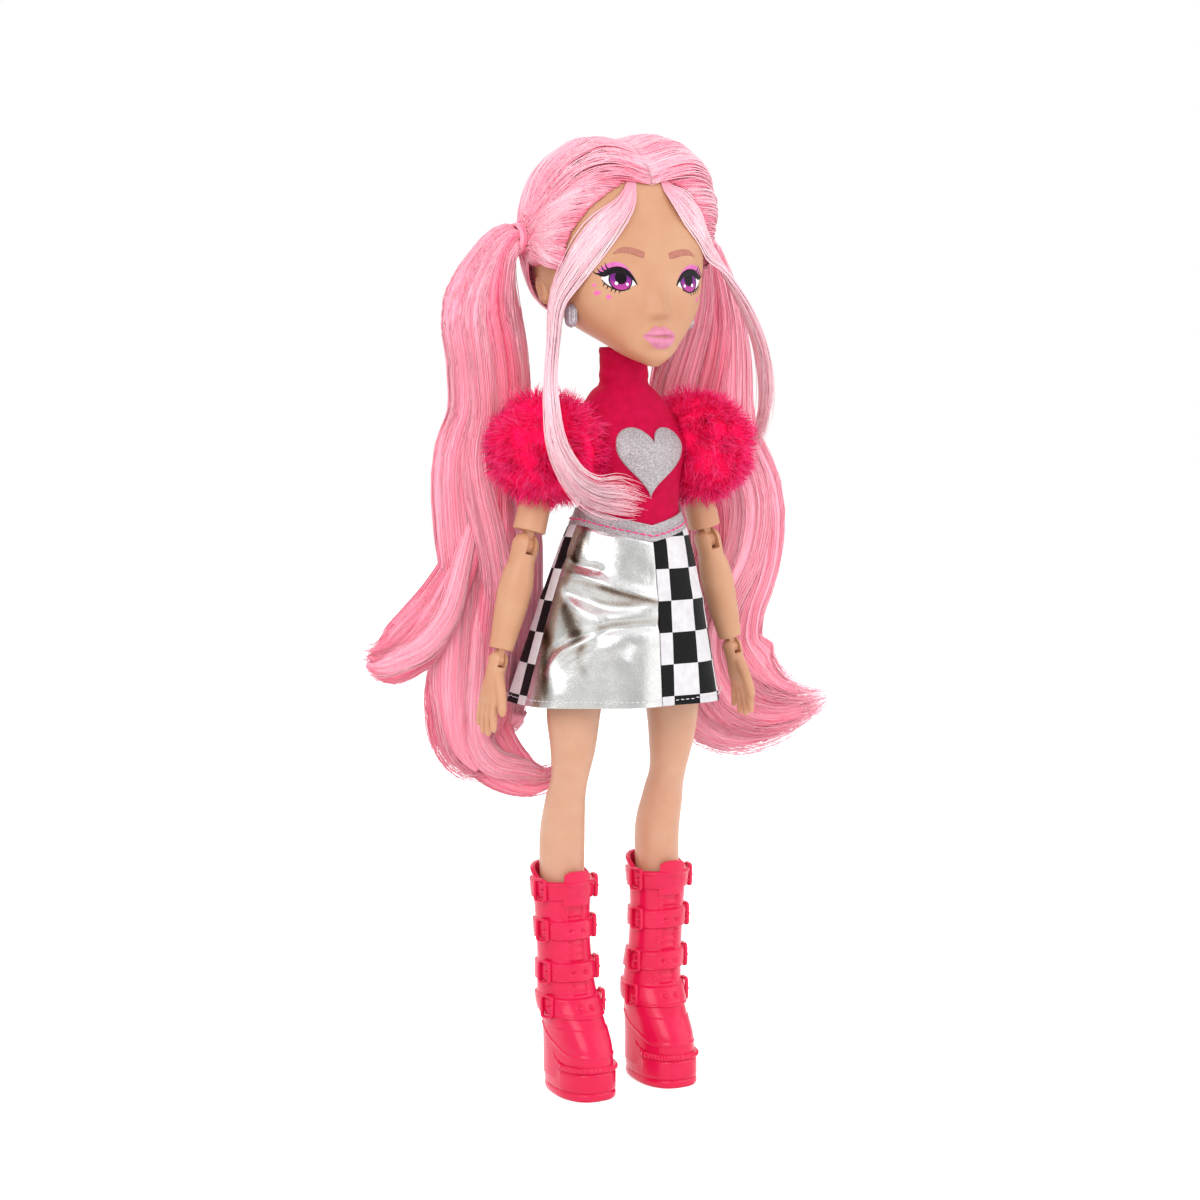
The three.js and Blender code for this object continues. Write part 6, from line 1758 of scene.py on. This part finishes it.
def make_forearm(name, side):
    end = -FOREARM_END
    sections = [[-4.4, 3.6, 3.6], [end * 0.26, 4.23, 4.14], [end * 0.42, 4.65, 4.5], [end * 0.65, 4.3, 4.15],
                [end * 0.85, 3.7, 3.6], [end + 0.3, 3.3, 3.3]]
    shape = Shape()
    shape.loft(hang(limb_rings(ELBOW_DOME, sections, 60, 64, 0.3), ELBOW, side))
    obj = shape.build(f"{name}_forearm_skin", [materials["skin"]], EDGE_DEGREES, tidy=True)
    carve_slot(obj, 1.15, 2.3, ELBOW_DOME, lambda points: hang(points, ELBOW, side))
    finish_piece(obj, f"{name}_forearm", "skin", f"{name}_forearm")


PALM_HALF = 4.4

# Fingers: place across the palm and length, as shares; then half widths along one finger
fingers = [(-0.72, 0.42), (-0.24, 0.48), (0.24, 0.46), (0.7, 0.37)]
finger_rows = [
    (-0.25, 0.95), (0, 1.05), (0.28, 0.98), (0.45, 1.02),
    (0.62, 0.9), (0.85, 0.82), (0.96, 0.58), (1.0, 0.25),
]


def make_hand(name, side):
    tip = HAND_LONG
    end = -tip * 0.56
    palm = (0.14, 2.55, 2.75), (0.3, 2.25, 3.7), (0.45, 2.05, 4.35), (0.56, 1.5, 4.2)
    sections = [[-tip * share, half, deep] for share, half, deep in palm]
    parts = [limb_rings(WRIST_DOME, sections, 40, 40, 0.5)]
    for share, long in fingers:
        long, across = long * tip, share * PALM_HALF
        rows = [[-0.17 * long * max(s, 0) ** 2, across + across * 0.36 * s, end + 1.3 - long * s,
                 1.12 * thick, 1.12 * thick] for s, thick in finger_rows]
        parts.append(sweep(rows, 36, 20))
    thumb = [[0, -1.1, -tip * 0.12, 1.3, 1.3], [-0.1, -2.6, -tip * 0.24, 1.6, 1.5],
             [-0.5, -4.4, -tip * 0.38, 1.45, 1.4], [-1.0, -5.9, -tip * 0.56, 1.25, 1.25],
             [-1.3, -6.5, -tip * 0.66, 0.95, 0.95], [-1.35, -6.7, -tip * 0.7, 0.4, 0.4]]
    parts.append(sweep(thumb, 36, 20))
    shape = Shape()
    for rings in parts:
        shape.loft(hang(rings, WRIST, side))
    obj = shape.build(f"{name}_hand_skin", [materials["skin"]], tidy=True)
    remesh(obj, 0.24, 5)
    carve_slot(obj, 0.95, 1.7, WRIST_DOME, lambda points: hang(points, WRIST, side), back_open=True)
    finish_piece(obj, f"{name}_hand", "skin", f"{name}_hand")


# Legs. Both tables: middle x, y and z, half width, half depth

HIP = joint_place("left_hip_swing")
HIP_BALL = 7.98
BOOT_TOP, KNEE, HEEL, PLATFORM = 64.0, 88.0, 19.0, 9.5
SHAFT_X, SOLE_X = 15.6, 13.4
leg_table = [
    [12.5, 1, 138, 8, 8], [13.9, 1, 124.9, 8.1, 8.1], [16, 1, 107.5, 7.5, 7.5], [16, 1.5, 97, 6.3, 6.3],
    [16, 3.4, 88, 5.1, 5.3], [16, 5.9, 79.8, 5.65, 5.9], [15.6, 8, 70, 6.2, 6.4], [15.6, 8, 55, 5.95, 5.95],
    [14.7, 8, 32, 4.4, 4.4], [14.06, 8, 25.8, 4.3, 4.3],
]
foot_table = [
    [14.06, 8, 27, 4.0, 3.9], [13.4, 5.2, 21.3, 4.3, 4.1], [13.4, 0.13, 15.8, 4.76, 3.5],
    [13.4, -4.4, 12.9, 5.1, 2.4], [13.4, -6.9, 12.1, 3.0, 1.1],
]


def make_leg(name, side):
    rings = sweep(leg_table, 170, 72)
    middle = rings.mean(1, keepdims=True)
    out = unit(rings - middle)
    front, behind = np.clip(-out[..., 1:2], 0, 1), np.clip(out[..., 1:2], 0, 1)
    z = middle[..., 2:]
    swell = 0.45 * front ** 3 * bell((z - KNEE - 1) / 3.2) - 0.25 * front ** 2 * bell((z - KNEE + 5) / 2.0)
    swell = swell + 0.35 * behind ** 2 * bell((z - 72) / 8) - 0.3 * behind ** 2 * bell((z - KNEE) / 3)
    swell = swell - 0.32 * np.abs(out[..., :1]) ** 3 * front * bell((z - KNEE) / 4)
    shape = Shape()
    for part in (rings + out * swell, sweep(foot_table, 40, 40), HIP + HIP_BALL * ball_grid(0.03, 64)[2]):
        shape.loft(mirrored(part, side))
    obj = shape.build(f"{name}_leg_skin", [materials["leg_skin"]], tidy=True)
    remesh(obj, 0.4, 3)
    carve(obj, (-10, -2.3, -4.7), (4.7, 2.3, 10), lambda points: mirrored(points + HIP, side))
    finish_piece(obj, f"{name}_leg", "leg_skin", f"{name}_leg")


# Boots. Upper sections: height, middle, front, back, half width

boot_table = np.array([
    [4.75, 13.4, -9, 15.4, 7.7], [10.45, 13.4, -9, 15.4, 7.7], [14.06, 13.4, -8.3, 15.4, 7.7],
    [18.62, 13.4, -5.6, 15.4, 7.7], [24.7, 13.84, -1.13, 16.2, 8.1], [37.67, 14.94, 0.6, 15.4, 7.4],
    [50.8, 15.6, 0.6, 15.4, 7.55], [64, 15.6, -0.6, 16.6, 8.6],
])
STRAP_HIGH, STRAP_OUT = 5.2, 0.75
strap_levels = [HEEL + (BOOT_TOP - HEEL) * share for share in (0.13, 0.34, 0.6, 0.85)]


def boot_section(z):
    """Middle, front, back and half width of the boot's upper."""
    return np.moveaxis(curve(z, boot_table[:, 0], boot_table[:, 1:]), -1, 0)


def boot_ring(z, angle, grow):
    """Points of the boot's outside; z and angle have the same shape."""
    x, front, back, half = boot_section(z)
    px, py = superellipse(angle, np.where(z < HEEL, 0.82, 0.92))
    return np.stack([x + px * (half + grow), (front + back) / 2 + py * ((back - front) / 2 + grow), z], -1)


WINDOW_LOW, WINDOW_HIGH, WINDOW_HALF = 27.5, 60.0, 2.3
STITCH_LOW, STITCH_ACROSS, STITCH_PITCH = 26, 3.1, 1.15
LACE_PITCH = 2.1
STRAP_HOLE = 1.5
SLANTED_BELOW = 30


def boot_relief(z, angle):
    """Straps, windows, stitching and seams of the upper, as height over its plain side."""
    across = np.cos(angle) * boot_section(z)[3]
    in_front, behind = np.sin(angle) < 0, np.sin(angle) > 0
    strap, holes = np.zeros_like(z), np.zeros_like(z)
    for level in strap_levels:
        tilt = level + 0.5 * np.sin(angle) * (level < SLANTED_BELOW)
        strap = np.maximum(strap, ease((STRAP_HIGH / 2 + 0.25 - np.abs(z - tilt)) / 0.45))
        for place in (-STRAP_HOLE, STRAP_HOLE):
            holes = np.maximum(holes, bell(np.hypot(across - place, z - level + 0.3) / 0.6) * in_front)
    gap = np.clip(1 - strap * 1.4, 0, 1)
    window = ease((WINDOW_HALF - np.abs(across)) / 0.4) * in_front
    window = window * ease((z - WINDOW_LOW) / 0.5) * ease((WINDOW_HIGH - z) / 0.4)
    dots = bell((np.abs(across) - STITCH_ACROSS) / 0.22) * in_front
    dots = dots * (0.5 + 0.5 * np.cos(z * 2 * math.pi / STITCH_PITCH)) * (z > STITCH_LOW) * (z < WINDOW_HIGH)
    welt = bell((z - 12.2 - 8.5 * ease((np.sin(angle) + 0.6) / 1.6)) / 0.35) * (z < 24)
    seam = bell(across / 0.45) * behind * (z > 20)
    lace = 0.28 * window * gap * (0.5 + 0.5 * np.cos(z * 2 * math.pi / LACE_PITCH))
    from_strap = np.min(np.abs(z[..., None] - np.array(strap_levels)), -1)
    edge = 0.22 * strap * bell(np.abs(from_strap - 2.15) / 0.22)
    return (STRAP_OUT * strap - 0.75 * window * gap + lace + 0.28 * dots * gap + 0.25 * welt
            + 0.2 * seam * gap - 0.75 * holes - 0.6 * edge)


RIM_LOW, RIM_RISE = 59.7, 4.0


def rim_height(angle):
    """Height of the boot's upper edge, low in front and high behind."""
    ring = boot_ring(np.full_like(angle, 62.0), angle, 0.0)
    return RIM_LOW + RIM_RISE * ease((ring[..., 1] - 4.56) / 12.0) ** 0.8


BUCKLE_WIDE, BUCKLE_HIGH = 1.95, 2.95
BUCKLE_BAR, BUCKLE_DEEP = 0.42, 0.6


def buckle_frame(centre, out, along, up):
    """Rings of round bar along a rounded rectangle, and the faces that close it."""
    steps, sides = 56, 12
    c, s = superellipse(turn(steps), 0.35)
    path = centre + along * (c * BUCKLE_WIDE)[:, None] + up * (s * BUCKLE_HIGH)[:, None]
    way = unit(np.roll(path, -1, 0) - np.roll(path, 1, 0))
    inward = np.cross(way, np.broadcast_to(out, path.shape))
    angle = turn(sides)[None, :, None]
    rings = (path[:, None] + np.cos(angle) * inward[:, None] * BUCKLE_BAR
             + np.sin(angle) * out * BUCKLE_DEEP)
    last, around = (steps - 1) * sides, np.arange(sides)
    close = np.stack([last + around, last + (around + 1) % sides, (around + 1) % sides, around], -1)
    return rings, [grid_faces(steps, sides), close]


def add_buckles(shape, side):
    up = np.array([0, 0, 1.0])
    for level in strap_levels:
        for facing, angle in ((1, math.radians(-17)), (-1, math.radians(196))):
            z = level + (0.5 * math.sin(angle) if level < SLANTED_BELOW else 0)
            ring = boot_ring(np.full(3, z), np.array([angle - 0.05, angle, angle + 0.05]), STRAP_OUT)
            centre = ring[1]
            along = unit((ring[2] - ring[0]) * (1, 1, 0))
            out = unit(np.cross(along, up))
            out = out if out[0] * facing > 0 else -out
            rings, faces = buckle_frame(centre + out * 0.3, out, along, up)
            shape.add(mirrored(rings, side), faces)
            towards = -np.sign(along[1])
            prong = [centre + along * s * 1.9 * towards + out * lift
                     for s, lift in ((1.0, 0.5), (0.75, 0.85), (0.35, 0.8), (0.0, 0.3))]
            path = mirrored(spaced(np.array(prong), 10)[None], side)
            shape.hairs(path, BUCKLE_BAR, up, np.array([0.5]), sides=10, root=1.0, tip=0.6)


SOLE_TOE, SOLE_LONG = 9.5, 25.4
SOLE_HEEL_HALF, SOLE_TOE_WIDER = 6.6, 1.6
SOLE_EDGE = 1.55
SOLE_INSET = 0.1

# Heights of the sole's rows, as shares, and the rings that close its top
sole_rises = [
    0.0, 0.02, 0.06, *np.linspace(0.1, 0.4, 14), *np.linspace(0.42, 0.8, 14), *np.linspace(0.81, 1.0, 20),
]
sole_shares = (0.97, 0.9, 0.6, 0.2)


def sole_rings(angle):
    middle = SOLE_LONG / 2 - SOLE_TOE
    c, s = superellipse(angle, 0.74)
    y = middle + s * SOLE_LONG / 2
    half = SOLE_HEEL_HALF + SOLE_TOE_WIDER * ease((SOLE_LONG - SOLE_TOE - y) / SOLE_LONG * 1.4)
    top = PLATFORM + (HEEL - PLATFORM) * ease((y + 1.9) / 17.8) ** 0.9
    rows = []
    for rise in sole_rises:
        z = rise * top
        from_top = top - z
        out = 0.42 * ease((SOLE_EDGE - from_top) / 0.3) - 0.3 * bell((from_top - 1.9) / 0.28)
        out = out - 0.35 * bell((z - 2.3) / 0.3)
        out = out + 0.12 * ease((1.2 - from_top) / 0.3) * np.cos(angle * 58) - 0.5 * bell(z / 0.35)
        out = out - 0.35 * bell(from_top / 0.3)
        slim = 1 - 0.06 * (z / HEEL) * (y > 0)
        wide, long = half * slim + out - SOLE_INSET, SOLE_LONG / 2 + out - SOLE_INSET
        rows.append(np.stack([SOLE_X + c * wide, middle + s * long, z], -1))
    centre, edge = np.array([SOLE_X, middle, 0]), rows[-1]
    rows += [centre + (edge - centre) * (share, share, 1) for share in sole_shares]
    return np.array(rows)


SHAFT_LOW = 5.0

# The lining below the rim: how far down, and how far inside the outer face
lining = [(0.0, -0.5), (0.25, -1.05), (3.0, -1.2), (7.0, -1.6), (11.0, -2.3), (13.0, -2.6)]
TONGUE_HALF, TONGUE_LOW, TONGUE_TOP = 3.7, 53, 62.7


def boot_tongue():
    """The tongue's front face, which follows the boot's front and stands above its rim."""
    x, share = np.meshgrid(np.linspace(-TONGUE_HALF, TONGUE_HALF, 28), np.linspace(0, 1, 30))
    z = TONGUE_LOW + (TONGUE_TOP - 1.1 * (x / TONGUE_HALF) ** 4 - TONGUE_LOW) * share
    front = boot_ring(np.minimum(z, BOOT_TOP - 0.1), np.full_like(z, 1.5 * math.pi), -0.35)[..., 1]
    half = boot_section(z)[3]
    y = front + (half - np.sqrt(np.clip(half ** 2 - x ** 2, 1, None))) - 0.2
    return np.stack([SHAFT_X + x, y, z], -1)


def make_boot(name, side):
    rows, columns = 300, 300
    angle = turn(columns)
    rim = rim_height(angle)
    z = SHAFT_LOW + (rim[None] - SHAFT_LOW) * np.linspace(0, 1, rows)[:, None]
    grid_angle = np.repeat(angle[None], rows, 0)
    bead = 0.3 * bell((rim[None] - z - 0.5) / 0.55) - 0.25 * bell((rim[None] - z) / 0.2)
    shell = [boot_ring(z, grid_angle, boot_relief(z, grid_angle) + bead)]
    shell += [boot_ring(rim - drop, angle, inward)[None] for drop, inward in lining]
    shape = Shape()
    shape.loft(mirrored(np.concatenate(shell), side))
    shape.sheet(mirrored(boot_tongue(), side), 0.9 * side)
    shape.loft(mirrored(sole_rings(turn(340)), side))
    add_buckles(shape, side)
    make_piece(shape, f"{name}_boot_vinyl", f"{name}_leg", "boot_vinyl", f"{name}_boot", smooth=50)


for name, side in SIDES.items():
    make_upper_arm(name, side)
    make_forearm(name, side)
    make_hand(name, side)
    make_leg(name, side)
    make_boot(name, side)
